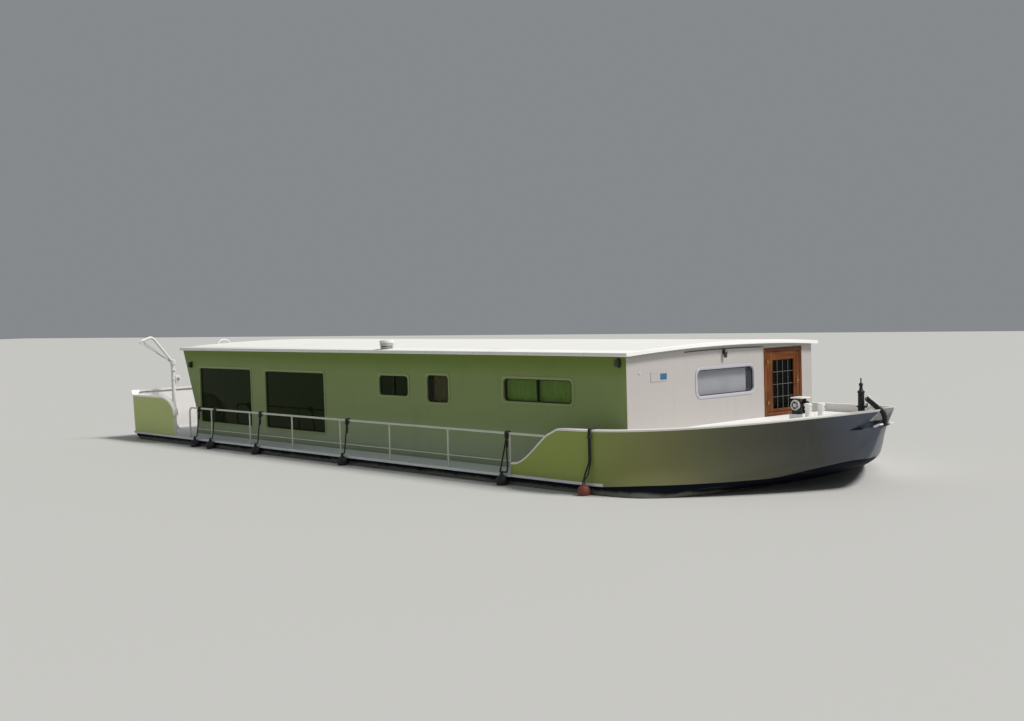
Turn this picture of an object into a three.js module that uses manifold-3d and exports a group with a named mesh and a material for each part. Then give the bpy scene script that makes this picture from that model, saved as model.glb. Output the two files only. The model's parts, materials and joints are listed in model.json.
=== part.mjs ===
// A houseboat: a low steel barge hull with a long cabin, afloat at its mooring.
// Millimetres. +X is the bow, +Y port, +Z up. The origin is on the centreline, at mid-length,
// on the waterline.
import * as THREE from 'three';
import { mergeVertices } from 'three/addons/utils/BufferGeometryUtils.js';
import Module from 'manifold-3d';

const wasm = await Module();
wasm.setup();

// Gap that is kept between two pieces that touch on the real boat
const GAP = 0.3;
// Gap round a piece that swings or turns
const RUNNING = 6;

// Hull
const HALF_BEAM = 2775;
const BOW_START = 4600;
const BOW_TIP = 8460;
const STERN = -8500;
const BOW_STEPS = 12;
const CORNER_STEPS = 4;
const KEEL_Z = -700;

// Deck levels
const SIDE_DECK_Z = 160;
const FOREDECK_Z = 740;
const DECK_CAMBER = 30;
const FOREDECK_PLATE = 25;

// Raised fore topsides and their cap
const STEP_X = 3810;
const STEP_Z = 340;
const OGEE = { from: 3850, to: 4860 };
const CAP_BASE_Z = 895;
const SHEER = { from: 5150, to: BOW_TIP, rise: 230 };
const CAP = { thick: 30, out: 15, in: 85, steps: 26 };
const BULWARK_PLATE = 60;
const DECK_RIM = 25;

// Slot in the stem head that the anchor lies in, between two cheeks. Below them it is open to
// both sides, up to a slope.
const NOTCH = { from: 8085, half: 170, floor: 835, cheeks: 8060, slope: 0.875 };

// Cabin
const CABIN = { aft: -6620, fore: 5630, half: 2200, wall: 60 };
const EAVES_Z = 1890;
const ROOF = { aft: -7150, fore: 5715, half: 2280, camber: 80, thick: 55, steps: 11 };
const WELL = { aft: -6500, fore: 5500, half: 2100, floor: -300 };

// Railing
const RAIL = { y: 2720, z: 757, aft: -5980, fore: 4470, tube: 17, post: 14, foot: 36 };

// Stern bulwark
const STERN_WALL = {
  fore: -6550, top: 915, high: 1005, plate: 50, cap: 35, out: 20, in: 80, cornerX: 560, cornerZ: 335,
};

// Steering and drive under the raked stern
const RUDDER = { x: -7800, stock: 30, trunkTop: 20, heel: -840 };
const PROPELLER = { x: -7350, z: -565, radius: 200, shaft: 25 };

// Far beyond every side of the boat, for shapes that only cut
const FAR = 9500;

const PAINT = {
  white: { color: 0xf2f1ea, roughness: 0.45, metalness: 0 },
  shade: { color: 0xd9dcd6, roughness: 0.5, metalness: 0 },
  navy: { color: 0x141c2c, roughness: 0.5, metalness: 0 },
  deck: { color: 0xb9bec6, roughness: 0.7, metalness: 0 },
  roof: { color: 0xeceade, roughness: 0.7, metalness: 0 },
  wood: { color: 0x8a4a22, roughness: 0.4, metalness: 0 },
  floor: { color: 0x9a7650, roughness: 0.6, metalness: 0 },
  window: { color: 0x27301c, roughness: 0.1, metalness: 0.1 },
  iron: { color: 0x2b2e33, roughness: 0.6, metalness: 0.6 },
  steel: { color: 0xb8bbb4, roughness: 0.4, metalness: 0.5 },
  bronze: { color: 0x9c7a3c, roughness: 0.35, metalness: 0.8 },
  rope: { color: 0x15150f, roughness: 0.9, metalness: 0 },
  lamp: { color: 0x1c1d20, roughness: 0.4, metalness: 0.2 },
};

const boat = new THREE.Group();

function toSolid(geometry) {
  const bare = geometry.clone();
  bare.deleteAttribute('normal');
  bare.deleteAttribute('uv');
  const merged = mergeVertices(bare, 1e-3);
  return new wasm.Manifold(new wasm.Mesh({
    numProp: 3,
    vertProperties: new Float32Array(merged.attributes.position.array),
    triVerts: new Uint32Array(merged.index.array),
  }));
}

function toGeometry(solid) {
  const mesh = solid.getMesh();
  const geometry = new THREE.BufferGeometry();
  geometry.setAttribute('position', new THREE.BufferAttribute(mesh.vertProperties, 3));
  geometry.setIndex(new THREE.BufferAttribute(mesh.triVerts, 1));
  return geometry;
}

function addPiece(name, solid, paint) {
  const mesh = new THREE.Mesh(toGeometry(solid), new THREE.MeshStandardMaterial(paint));
  mesh.name = name;
  boat.add(mesh);
}

function union(solids) {
  return solids.reduce((whole, next) => whole.add(next));
}

// A box given by its lowest and highest corner
function box(x0, y0, z0, x1, y1, z1) {
  const geometry = new THREE.BoxGeometry(x1 - x0, y1 - y0, z1 - z0);
  geometry.translate((x0 + x1) / 2, (y0 + y1) / 2, (z0 + z1) / 2);
  return toSolid(geometry);
}

// An outline of [u, v] points pushed through depth, laid on the plane that the basis gives
function prism(outline, from, to, across, up, along, holes = []) {
  const shape = new THREE.Shape(outline.map(([u, v]) => new THREE.Vector2(u, v)));
  for (const hole of holes) {
    shape.holes.push(new THREE.Path(hole.map(([u, v]) => new THREE.Vector2(u, v))));
  }
  const geometry = new THREE.ExtrudeGeometry(shape, { depth: to - from, bevelEnabled: false });
  geometry.translate(0, 0, from);
  geometry.applyMatrix4(new THREE.Matrix4().makeBasis(across, up, along));
  return toSolid(geometry);
}

const X = new THREE.Vector3(1, 0, 0);
const Y = new THREE.Vector3(0, 1, 0);
const Z = new THREE.Vector3(0, 0, 1);

// Outline in plan, [x, y], between two heights
const planPrism = (outline, z0, z1, holes) => prism(outline, z0, z1, X, Y, Z, holes);
// Outline in section, [y, z], between two stations along the boat
const sectionPrism = (outline, x0, x1, holes) => prism(outline, x0, x1, Y, Z, X, holes);
// Outline in profile, [x, z], between two places across the boat
const profilePrism = (outline, y0, y1, holes) => prism(outline, -y1, -y0, X, Z, Y.clone().negate(), holes);

// A round bar from one point to another
function bar(from, to, radius, sides = 10) {
  const start = new THREE.Vector3(...from);
  const end = new THREE.Vector3(...to);
  const length = start.distanceTo(end);
  const geometry = new THREE.CylinderGeometry(radius, radius, length, sides);
  const turn = new THREE.Quaternion().setFromUnitVectors(Y, end.clone().sub(start).normalize());
  geometry.applyQuaternion(turn);
  const middle = start.add(end).multiplyScalar(0.5);
  geometry.translate(middle.x, middle.y, middle.z);
  return toSolid(geometry);
}

function ball(centre, radius, sides = 12) {
  const geometry = new THREE.SphereGeometry(radius, sides, Math.round(sides * 0.6));
  geometry.rotateX(Math.PI / 2);
  geometry.translate(...centre);
  return toSolid(geometry);
}

// A route of straight runs, with one cross-section at each of its points
class Route extends THREE.Curve {
  constructor(points) {
    super();
    this.points = points.map((point) => new THREE.Vector3(...point));
  }

  getPoint(t, target = new THREE.Vector3()) {
    const place = t * (this.points.length - 1);
    const i = Math.min(Math.floor(place), this.points.length - 2);
    return target.lerpVectors(this.points[i], this.points[i + 1], place - i);
  }

  getPointAt(t, target) {
    return this.getPoint(t, target);
  }

  getTangentAt(t, target = new THREE.Vector3()) {
    const i = Math.round(t * (this.points.length - 1));
    const here = this.points[i];
    const into = here.clone().sub(this.points[Math.max(i - 1, 0)]).normalize();
    const out = this.points[Math.min(i + 1, this.points.length - 1)].clone().sub(here).normalize();
    return target.copy(into.add(out).normalize());
  }
}

// A tube that follows points through its bends
function bentTube(points, radius, sides = 8) {
  const corners = Array.from({ length: sides }, (_, i) => {
    const angle = (2 * Math.PI * i) / sides;
    return new THREE.Vector2(radius * Math.cos(angle), radius * Math.sin(angle));
  });
  return toSolid(new THREE.ExtrudeGeometry(new THREE.Shape(corners), {
    steps: points.length - 1,
    bevelEnabled: false,
    extrudePath: new Route(points),
  }));
}

// A turned piece: [radius, height] points round an upright axis
function turned(profile, x, y, sides = 16) {
  const geometry = new THREE.LatheGeometry(profile.map(([r, h]) => new THREE.Vector2(r, h)), sides);
  geometry.rotateX(Math.PI / 2);
  geometry.translate(x, y, 0);
  return toSolid(geometry);
}

function ring(centre, radius, thickness, axis, sides = 12) {
  const geometry = new THREE.TorusGeometry(radius, thickness, 5, sides);
  geometry.applyQuaternion(new THREE.Quaternion().setFromUnitVectors(Z, axis));
  geometry.translate(...centre);
  return toSolid(geometry);
}

const rectangle = (u0, v0, u1, v1) => [[u0, v0], [u1, v0], [u1, v1], [u0, v1]];

// Rectangle with round corners as [u, v] points
function roundedRect(u0, v0, u1, v1, radius, steps = 2) {
  const corners = [
    [u1 - radius, v0 + radius, -90],
    [u1 - radius, v1 - radius, 0],
    [u0 + radius, v1 - radius, 90],
    [u0 + radius, v0 + radius, 180],
  ];
  const points = [];
  for (const [u, v, start] of corners) {
    for (let i = 0; i <= steps; i++) {
      const angle = THREE.MathUtils.degToRad(start + (90 * i) / steps);
      points.push([u + radius * Math.cos(angle), v + radius * Math.sin(angle)]);
    }
  }
  return points;
}

// Hull form, from the bottom up. Each row is one level of the hull's plan: its height, its
// stern, half beam, bow tip, how square the bow is along the boat and across it, and the
// radius of the stern's corners.
const LEVELS = [
  { z: KEEL_Z, stern: -6300, half: 2350, tip: 5900, along: 6, across: 2, corner: 300 },
  { z: -600, stern: -6600, half: 2600, tip: 6250, along: 6, across: 2, corner: 300 },
  { z: -350, stern: -7150, half: 2740, tip: 6600, along: 6, across: 2, corner: 260 },
  { z: -150, stern: -7700, half: 2765, tip: 6750, along: 6, across: 2, corner: 220 },
  { z: 0, stern: -8250, half: 2770, tip: 6950, along: 6, across: 2, corner: 180 },
  { z: 170, stern: -8440, half: HALF_BEAM, tip: 7550, along: 3.2, across: 1.7, corner: 160 },
  { z: 400, stern: -8455, half: HALF_BEAM, tip: 8070, along: 2.4, across: 1.3, corner: 150 },
  { z: 800, stern: -8475, half: HALF_BEAM, tip: 8270, along: 2.25, across: 1.2, corner: 140 },
  { z: 1160, stern: STERN, half: HALF_BEAM, tip: BOW_TIP, along: 2.25, across: 1.2, corner: 130 },
];

// Half plan of one level, from the stern's middle round to the bow's tip, on the -Y side
function halfPlan(level, grow) {
  const half = level.half + grow;
  const stern = level.stern - grow;
  const reach = level.tip + grow - BOW_START;
  const points = [];
  for (let i = 0; i <= CORNER_STEPS; i++) {
    const angle = ((90 * i) / CORNER_STEPS) * THREE.MathUtils.DEG2RAD;
    points.push([
      stern + level.corner * (1 - Math.cos(angle)),
      -half + level.corner * (1 - Math.sin(angle)),
    ]);
  }
  for (let i = 0; i <= BOW_STEPS; i++) {
    const angle = ((90 * i) / BOW_STEPS) * THREE.MathUtils.DEG2RAD;
    const ahead = Math.sin(angle) ** (2 / level.along);
    const side = i === BOW_STEPS ? 0 : Math.cos(angle) ** (2 / level.across);
    points.push([BOW_START + reach * ahead, -half * side]);
  }
  return points;
}

function levelRing(level, grow) {
  const starboard = halfPlan(level, grow);
  const port = starboard.slice(0, -1).reverse().map(([x, y]) => [x, -y]);
  return [...starboard, ...port].map(([x, y]) => new THREE.Vector3(x, y, level.z));
}

// Closed skin through rings that have the same number of points, first ring to last
function loft(rings) {
  const count = rings[0].length;
  const positions = rings.flat().flatMap((point) => [point.x, point.y, point.z]);
  const faces = [];
  for (let r = 0; r + 1 < rings.length; r++) {
    for (let i = 0; i < count; i++) {
      const next = (i + 1) % count;
      const a = r * count + i;
      const b = r * count + next;
      const c = (r + 1) * count + next;
      const d = (r + 1) * count + i;
      faces.push(a, b, c, a, c, d);
    }
  }
  return { positions, faces, count };
}

function closeLoft({ positions, faces, count }, flatten) {
  const last = positions.length / 3 - count;
  const cap = (start) => {
    const flat = [];
    for (let i = 0; i < count; i++) {
      flat.push(flatten(new THREE.Vector3().fromArray(positions, 3 * (start + i))));
    }
    return THREE.ShapeUtils.triangulateShape(flat, []);
  };
  for (const [a, b, c] of cap(0)) faces.push(a, c, b);
  for (const [a, b, c] of cap(last)) faces.push(last + a, last + b, last + c);
  const geometry = new THREE.BufferGeometry();
  geometry.setAttribute('position', new THREE.Float32BufferAttribute(positions, 3));
  geometry.setIndex(faces);
  return toSolid(geometry);
}

const inPlan = (point) => new THREE.Vector2(point.x, point.y);
const inSection = (point) => new THREE.Vector2(point.y, point.z);

function hullBody(grow) {
  return closeLoft(loft(LEVELS.map((level) => levelRing(level, grow))), inPlan);
}

const WHOLE = hullBody(0);

// Top of the cap rail over the raised topsides, at a station along the boat
function capZ(x) {
  const t = THREE.MathUtils.clamp((x - OGEE.from) / (OGEE.to - OGEE.from), 0, 1);
  const ogee = STEP_Z + (CAP_BASE_Z - STEP_Z) * t * t * (3 - 2 * t);
  const s = Math.max(0, (x - SHEER.from) / (SHEER.to - SHEER.from));
  return ogee + SHEER.rise * s * s;
}

// Edge of the foredeck
function foredeckZ(x) {
  return capZ(x) - (CAP_BASE_Z - FOREDECK_Z);
}

// Half breadth of one level's plan at a station
function planY(level, x, grow) {
  const points = halfPlan(level, grow);
  const i = Math.max(points.findIndex(([px]) => px > x), 1);
  const [[x0, y0], [x1, y1]] = [points[i - 1], points[i]];
  return -THREE.MathUtils.mapLinear(x, x0, x1, y0, y1);
}

// Half breadth of the hull at a station and a height
function sideY(x, z, grow = 0) {
  const upper = LEVELS.findIndex((level) => level.z > z);
  const [low, high] = [LEVELS[upper - 1], LEVELS[upper]];
  return THREE.MathUtils.mapLinear(z, low.z, high.z, planY(low, x, grow), planY(high, x, grow));
}

function stations(from, to, count) {
  return Array.from({ length: count + 1 }, (_, i) => from + ((to - from) * i) / count);
}

// Stations along the foredeck
const DECK_XS = stations(CABIN.fore + GAP, FAR, 16);

// Upper edge of the dark bottom paint, which sweeps up to the stem
const BOOT_LINE = [
  { x: CABIN.fore, z: 120 },
  { x: 6200, z: 160 },
  { x: 7330, z: 205 },
  { x: 7930, z: 430 },
  { x: FAR, z: 430 },
];

function makeHull() {
  const below = profilePrism([
    [-FAR, KEEL_Z - 100],
    [FAR, KEEL_Z - 100],
    ...BOOT_LINE.map(({ x, z }) => [x, z]).reverse(),
    [-FAR, BOOT_LINE[0].z],
  ], -HALF_BEAM - 100, HALF_BEAM + 100);
  const well = box(WELL.aft, -WELL.half, WELL.floor, WELL.fore, WELL.half, 500);
  const trunk = bar([RUDDER.x, 0, KEEL_Z], [RUDDER.x, 0, RUDDER.trunkTop], RUDDER.stock + 1, 24);
  addPiece('hull', WHOLE.intersect(below).subtract(well).subtract(trunk), PAINT.navy);
}

function makeSideDeck() {
  const z0 = BOOT_LINE[0].z + GAP;
  const rimmed = hullBody(DECK_RIM).intersect(box(-FAR, -FAR, z0, STEP_X - 1, FAR, SIDE_DECK_Z));
  const plain = WHOLE.intersect(box(STEP_X - 50, -FAR, z0, CABIN.fore, FAR, SIDE_DECK_Z));
  const well = box(WELL.aft, -WELL.half, -FAR, WELL.fore, WELL.half, FAR);
  addPiece('side_deck', rimmed.add(plain).subtract(well), PAINT.deck);
}

const notchBox = () => box(NOTCH.from, -NOTCH.half, NOTCH.floor, FAR, NOTCH.half, FAR);

// The open pocket under the cheeks
const pocket = () => profilePrism([
  [NOTCH.from, NOTCH.floor],
  [FAR, NOTCH.floor],
  [FAR, NOTCH.floor + NOTCH.slope * (FAR - NOTCH.from)],
], -FAR, FAR);

// The two cheeks beside the slot, from its sides out, set back by a gap
function besideNotch(gap) {
  const x = NOTCH.cheeks - gap;
  const y = NOTCH.half - gap;
  return box(x, -FAR, 0, FAR, -y, FAR).add(box(x, y, 0, FAR, FAR, FAR));
}

function makeForeTopside() {
  const top = stations(STEP_X, FAR, CAP.steps).map((x) => [x, capZ(x) - CAP.thick - GAP]).reverse();
  const side = profilePrism([
    [STEP_X, SIDE_DECK_Z + GAP],
    [CABIN.fore + GAP, SIDE_DECK_Z + GAP],
    [CABIN.fore + GAP, BOOT_LINE[0].z + GAP],
    ...BOOT_LINE.slice(1).map(({ x, z }) => [x, z + GAP]),
    ...top,
  ], -HALF_BEAM - 100, HALF_BEAM + 100);
  const above = profilePrism([
    [STEP_X - 500, SIDE_DECK_Z - 100],
    [CABIN.fore + GAP, SIDE_DECK_Z - 100],
    ...DECK_XS.map((x) => [x, foredeckZ(x)]),
    [FAR, 2500],
    [STEP_X - 500, 2500],
  ], -FAR, FAR);
  const inside = hullBody(-BULWARK_PLATE).intersect(above).subtract(besideNotch(0));
  const openings = inside.add(notchBox()).add(pocket());
  addPiece('fore_topside', WHOLE.intersect(side).subtract(openings), PAINT.white);
}

function makeForeCap() {
  const xs = stations(STEP_X, FAR, CAP.steps);
  const band = profilePrism([
    ...xs.map((x) => [x, capZ(x) - CAP.thick]),
    ...xs.map((x) => [x, capZ(x)]).reverse(),
  ], -FAR, FAR);
  const outer = hullBody(CAP.out);
  const rim = outer.subtract(hullBody(-CAP.in)).add(outer.intersect(besideNotch(0)));
  const cap = rim.intersect(band).subtract(notchBox());
  addPiece('fore_cap_starboard', cap.intersect(box(0, -FAR, 0, FAR, 0, FAR)), PAINT.white);
  addPiece('fore_cap_port', cap.intersect(box(0, 0, 0, FAR, FAR, FAR)), PAINT.white);
}

// The foredeck's plate, which is cambered, down to a depth below its edge
function foredeckSlab(depth) {
  const rings = DECK_XS.filter((x) => x < BOW_TIP - CAP.in).map((x) => {
    const half = sideY(x, foredeckZ(x));
    const base = foredeckZ(x) + GAP;
    const top = stations(half, -half, 10).map((y) => {
      const crown = DECK_CAMBER * (1 - (y / half) ** 2);
      return new THREE.Vector3(x, y, base + FOREDECK_PLATE + crown);
    });
    const foot = [-half, half].map((y) => new THREE.Vector3(x, y, base - depth));
    return [...foot, ...top];
  });
  return closeLoft(loft(rings), inSection);
}

function makeForedeck() {
  const inner = hullBody(-BULWARK_PLATE - GAP);
  const deck = foredeckSlab(0).intersect(inner).subtract(notchBox()).subtract(besideNotch(GAP));
  addPiece('foredeck', deck, PAINT.white);
}

// All that lies under a fitting on the foredeck
const underFittings = () => foredeckSlab(400).translate([0, 0, GAP]);

// Height of the foredeck's crown at a station
const deckTop = (x) => foredeckZ(x) + FOREDECK_PLATE + DECK_CAMBER;

// Edge of the stern bulwark's side, a flat top and a round fore corner, from aft forward
function sternEdge(offset) {
  const { fore, top, high, cornerX, cornerZ } = STERN_WALL;
  const points = [
    [-FAR, high + offset],
    [STERN + 90, high + offset],
    [STERN + 150, top + offset],
  ];
  for (let i = 0; i <= 8; i++) {
    const angle = ((90 * i) / 8) * THREE.MathUtils.DEG2RAD;
    points.push([
      fore - cornerX + (cornerX + offset) * Math.sin(angle),
      top - cornerZ + (cornerZ + offset) * Math.cos(angle),
    ]);
  }
  return points;
}

function makeStern() {
  const { fore, plate, cap, top, cornerZ, out } = STERN_WALL;
  const wall = profilePrism([
    [-FAR, SIDE_DECK_Z + GAP],
    [fore, SIDE_DECK_Z + GAP],
    ...sternEdge(0).reverse(),
  ], -FAR, FAR);
  addPiece('stern_bulwark', WHOLE.subtract(hullBody(-plate)).intersect(wall), PAINT.white);
  const band = profilePrism([
    ...sternEdge(GAP),
    [fore + cap, top - cornerZ - 5],
    ...sternEdge(cap).reverse().slice(1),
  ], -FAR, FAR);
  const rim = hullBody(out).subtract(hullBody(-STERN_WALL.in));
  addPiece('stern_cap', rim.intersect(band), PAINT.white);
}

// Height of the roof's underside at a place across the boat
function roofUnderZ(y) {
  return EAVES_Z + ROOF.camber * (1 - (y / ROOF.half) ** 2);
}

// The cambered roof, down to a depth below its underside
function roofSlab(depth) {
  const ys = stations(-ROOF.half, ROOF.half, ROOF.steps);
  return sectionPrism([
    ...ys.map((y) => [y, roofUnderZ(y) - depth]),
    ...ys.map((y) => [y, roofUnderZ(y) + ROOF.thick]).reverse(),
  ], ROOF.aft, ROOF.fore);
}

function makeRoof() {
  addPiece('roof', roofSlab(0), PAINT.roof);
}

// Everything above the roof's underside, to trim the walls' tops
function aboveRoof() {
  return sectionPrism([
    ...stations(-ROOF.half, ROOF.half, ROOF.steps).map((y) => [y, roofUnderZ(y) - GAP]),
    [ROOF.half, FAR],
    [-ROOF.half, FAR],
  ], -FAR, FAR);
}

// Windows of one cabin side: name, from and to along the boat, sill and head, and whether the
// pane is in two sliding halves
const SIDE_WINDOWS = [
  { name: 'saloon_aft', from: -6480, to: -4410, sill: 390, head: 1555, split: false },
  { name: 'saloon_fore', from: -3930, to: -1860, sill: 390, head: 1535, split: false },
  { name: 'galley', from: -220, to: 650, sill: 1145, head: 1535, split: true },
  { name: 'washroom', from: 1110, to: 1720, sill: 1070, head: 1565, split: false },
  { name: 'berth', from: 3010, to: 4570, sill: 1155, head: 1555, split: true },
];
const WINDOW = { corner: 70, frame: 34, flange: 16, proud: 10, glass: 6 };
const FRONT_WINDOW = { from: -700, to: 700, sill: 1200, head: 1640, corner: 110 };
const AFT_WINDOW = { from: 250, to: 1550, sill: 900, head: 1560, corner: 70 };

// One window unit in its own plane: u along the wall, v up, w outwards with 0 on the wall's face
function windowUnit({ from, to, sill, head, corner = WINDOW.corner, split = false }, place) {
  const { frame, flange, proud, glass } = WINDOW;
  const outline = (inset) => {
    const radius = Math.max(corner - inset, 12);
    return roundedRect(from + inset, sill + inset, to - inset, head - inset, radius);
  };
  const lining = place(outline(GAP), -CABIN.wall, proud, [outline(frame)]);
  const rim = place(outline(-flange), GAP, proud, [outline(frame)]);
  const pane = place(outline(frame - 4), -CABIN.wall / 2 - glass, -CABIN.wall / 2);
  const parts = [lining, rim, pane];
  if (split) {
    const middle = (from + to) / 2;
    const bars = [[middle - 15, sill + frame - 4], [middle + 15, sill + frame - 4],
      [middle + 15, head - frame + 4], [middle - 15, head - frame + 4]];
    parts.push(place(bars, -CABIN.wall / 2 - glass - 8, -8));
  }
  return union(parts);
}

// Planes that windows and doors lie on
const onStarboard = (outline, w0, w1, holes) => (
  prism(outline, w0, w1, X, Z, Y.clone().negate(), holes).translate([0, -CABIN.half, 0])
);
const onFront = (outline, w0, w1, holes) => (
  prism(outline, w0, w1, Y, Z, X, holes).translate([CABIN.fore, 0, 0])
);
const flipU = (points) => points.map(([u, v]) => [-u, v]);
const onPort = (outline, w0, w1, holes = []) => (
  prism(flipU(outline).reverse(), w0, w1, X.clone().negate(), Z, Y, holes.map((h) => flipU(h).reverse()))
    .translate([0, CABIN.half, 0])
);
const onAft = (outline, w0, w1, holes = []) => (
  prism(flipU(outline).reverse(), w0, w1, Y.clone().negate(), Z, X.clone().negate(),
    holes.map((h) => flipU(h).reverse())).translate([CABIN.aft, 0, 0])
);

function makeCabinSides() {
  const { aft, fore, wall } = CABIN;
  const outline = [
    [aft - 20, SIDE_DECK_Z + GAP],
    [fore - wall - GAP, SIDE_DECK_Z + GAP],
    [fore - wall - GAP, 2100],
    [ROOF.aft + 20, 2100],
    [ROOF.aft + 20, EAVES_Z],
    [aft - 20, 650],
  ];
  const coaming = rectangle(aft - 20, SIDE_DECK_Z + GAP, fore - wall - GAP, SIDE_DECK_Z + 70);
  for (const [name, place] of [['starboard', onStarboard], ['port', onPort]]) {
    let panel = place(outline, -wall, 0).add(place(coaming, -1, 15));
    for (const opening of SIDE_WINDOWS) {
      const hole = roundedRect(opening.from, opening.sill, opening.to, opening.head, WINDOW.corner);
      panel = panel.subtract(place(hole, -wall - 10, 10));
      addPiece(`window_${name}_${opening.name}`, windowUnit(opening, place), PAINT.window);
    }
    addPiece(`cabin_side_${name}`, panel.subtract(aboveRoof()), PAINT.shade);
  }
}

// Doors: the frame's outer edges in the wall, and the hinge side
const FRONT_DOOR = { from: 940, to: 1920, sill: 800, head: 1870, frame: 60, leaf: 45, stile: 120 };
const AFT_DOOR = { from: -1200, to: -300, sill: 190, head: 1850, frame: 50, leaf: 45, stile: 130 };

// Hinge knuckles stand on the frame's outer face
const HINGE = { radius: 8, out: 18.5 };

function makeFrontWall() {
  const { fore, half, wall } = CABIN;
  const panel = box(fore - wall, -half, SIDE_DECK_Z + GAP, fore, half, 2100);
  const window = FRONT_WINDOW;
  const hole = roundedRect(window.from, window.sill, window.to, window.head, window.corner);
  const door = FRONT_DOOR;
  const way = rectangle(door.from, door.sill, door.to, door.head);
  const holes = onFront(hole, -wall - 10, 10).add(onFront(way, -wall - 10, 10));
  addPiece('cabin_front', panel.subtract(holes).subtract(aboveRoof()), PAINT.white);
  addPiece('window_front', windowUnit(window, onFront), PAINT.window);
}

function makeAftWall() {
  const { aft, half, wall } = CABIN;
  const inner = half - wall - GAP;
  const panel = box(aft, -inner, SIDE_DECK_Z + GAP, aft + wall, inner, 2100);
  const window = AFT_WINDOW;
  const hole = roundedRect(window.from, window.sill, window.to, window.head, window.corner);
  const door = AFT_DOOR;
  const way = rectangle(door.from, door.sill, door.to, door.head);
  const holes = onAft(hole, -wall - 10, 10).add(onAft(way, -wall - 10, 10));
  addPiece('cabin_aft', panel.subtract(holes).subtract(aboveRoof()), PAINT.shade);
  addPiece('window_aft', windowUnit(window, onAft), PAINT.window);
}

// A door frame that lines its way through the wall, and a leaf hung on its outer face
function makeDoor(name, door, place, pin, glazing, paint) {
  const { from, to, sill, head, frame, leaf, stile } = door;
  const outer = rectangle(from + GAP, sill + GAP, to - GAP, head - GAP);
  const inner = rectangle(from + frame, sill + frame, to - frame, head - frame);
  addPiece(`${name}_frame`, place(outer, -CABIN.wall - 5, 10, [inner]), paint);

  const u0 = from + frame + RUNNING;
  const u1 = to - frame - RUNNING - 2;
  const v0 = sill + frame + RUNNING;
  const v1 = head - frame - RUNNING;
  const back = -leaf + 5;
  const front = 5;
  const glass = rectangle(u0 + stile, v0 + glazing.rail, u1 - stile, v1 - stile);
  const parts = [place(rectangle(u0, v0, u1, v1), back, front, [glass])];
  for (const u of stations(u0 + stile, u1 - stile, glazing.columns).slice(1, -1)) {
    parts.push(place(rectangle(u - 8, v0 + glazing.rail - 2, u + 8, v1 - stile + 2), front - 22, front - 4));
  }
  for (const v of stations(v0 + glazing.rail, v1 - stile, glazing.rows).slice(1, -1)) {
    parts.push(place(rectangle(u0 + stile - 2, v - 8, u1 - stile + 2, v + 8), front - 22, front - 4));
  }
  for (const v of [v0 + 150, v1 - 150]) {
    const [x, y] = pin(u0 - RUNNING, HINGE.out);
    parts.push(bar([x, y, v - 35], [x, y, v + 35], HINGE.radius, 12));
    parts.push(place(rectangle(u0 - 2, v - 20, u0 + 60, v + 20), front - 1, HINGE.out));
    parts.push(place(rectangle(u0 - RUNNING, v - 20, u0 + 4, v + 20), HINGE.out - 4, HINGE.out));
  }
  const grip = v0 + (v1 - v0) * 0.5;
  parts.push(place(rectangle(u1 - 70, grip - 60, u1 - 35, grip + 60), front - 1, front + 8));
  parts.push(place(rectangle(u1 - 62, grip - 8, u1 - 44, grip + 8), front + 7, front + 45));
  parts.push(place(rectangle(u1 - 150, grip - 8, u1 - 44, grip + 8), front + 38, front + 52));
  addPiece(`${name}_leaf`, union(parts), paint);
  const pane = rectangle(
    u0 + stile + GAP, v0 + glazing.rail + GAP, u1 - stile - GAP, v1 - stile - GAP);
  addPiece(`${name}_glass`, place(pane, front - 30, front - 22 - GAP), PAINT.window);
}

function makeDoors() {
  const frontPin = (u, w) => [CABIN.fore + w, u];
  const aftPin = (u, w) => [CABIN.aft - w, u];
  makeDoor('front_door', FRONT_DOOR, onFront, frontPin, { rail: 30, columns: 4, rows: 5 }, PAINT.wood);
  makeDoor('aft_door', AFT_DOOR, onAft, aftPin, { rail: 700, columns: 1, rows: 1 }, PAINT.wood);
}

// Cabin floor, set in the well, and the steps down to it from the front door
const FLOOR = { inset: 10, thick: 40 };
const STAIR = { inset: 20, steps: 4, rise: 210, going: 230 };

function makeInside() {
  const { aft, fore, half, floor } = WELL;
  const { inset, thick } = FLOOR;
  addPiece('cabin_floor', box(
    aft + inset, -half + inset, floor + GAP, fore - inset, half - inset, floor + thick,
  ), PAINT.floor);
  const { steps, rise, going } = STAIR;
  const start = floor + thick + GAP;
  const back = fore - STAIR.inset;
  const flight = [[back, start], [back, start + steps * rise]];
  for (let i = steps; i > 0; i--) {
    const nose = back - (steps + 1 - i) * going;
    flight.push([nose, start + i * rise]);
    flight.push([nose, start + (i - 1) * rise]);
  }
  addPiece('entrance_steps', profilePrism(flight, FRONT_DOOR.from + 60, FRONT_DOOR.to - 60), PAINT.floor);
}

// Stations of the railing's posts, aft to fore
const RAIL_POSTS = [-5100, -3650, -2180, -660, 760, 2280, 3730];

function makeRailings() {
  const { y, z, aft, fore, tube, post, foot } = RAIL;
  for (const [name, side] of [['starboard', -y], ['port', y]]) {
    const top = bentTube([
      [aft, side, SIDE_DECK_Z + GAP + 4],
      [aft, side, z - 157],
      [aft + 25, side, z - 67],
      [aft + 90, side, z - 15],
      [aft + 180, side, z],
      [fore, side, z],
    ], tube, 8);
    const posts = RAIL_POSTS.map((x) => bar([x, side, SIDE_DECK_Z + 4], [x, side, z], post, 6));
    const feet = [aft, ...RAIL_POSTS].map((x) => (
      bar([x, side, SIDE_DECK_Z + GAP], [x, side, SIDE_DECK_Z + 8], foot, 8)
    ));
    const parts = [top, ...posts, ...feet];
    addPiece(`railing_${name}`, union(parts), PAINT.steel);
  }
}

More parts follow.
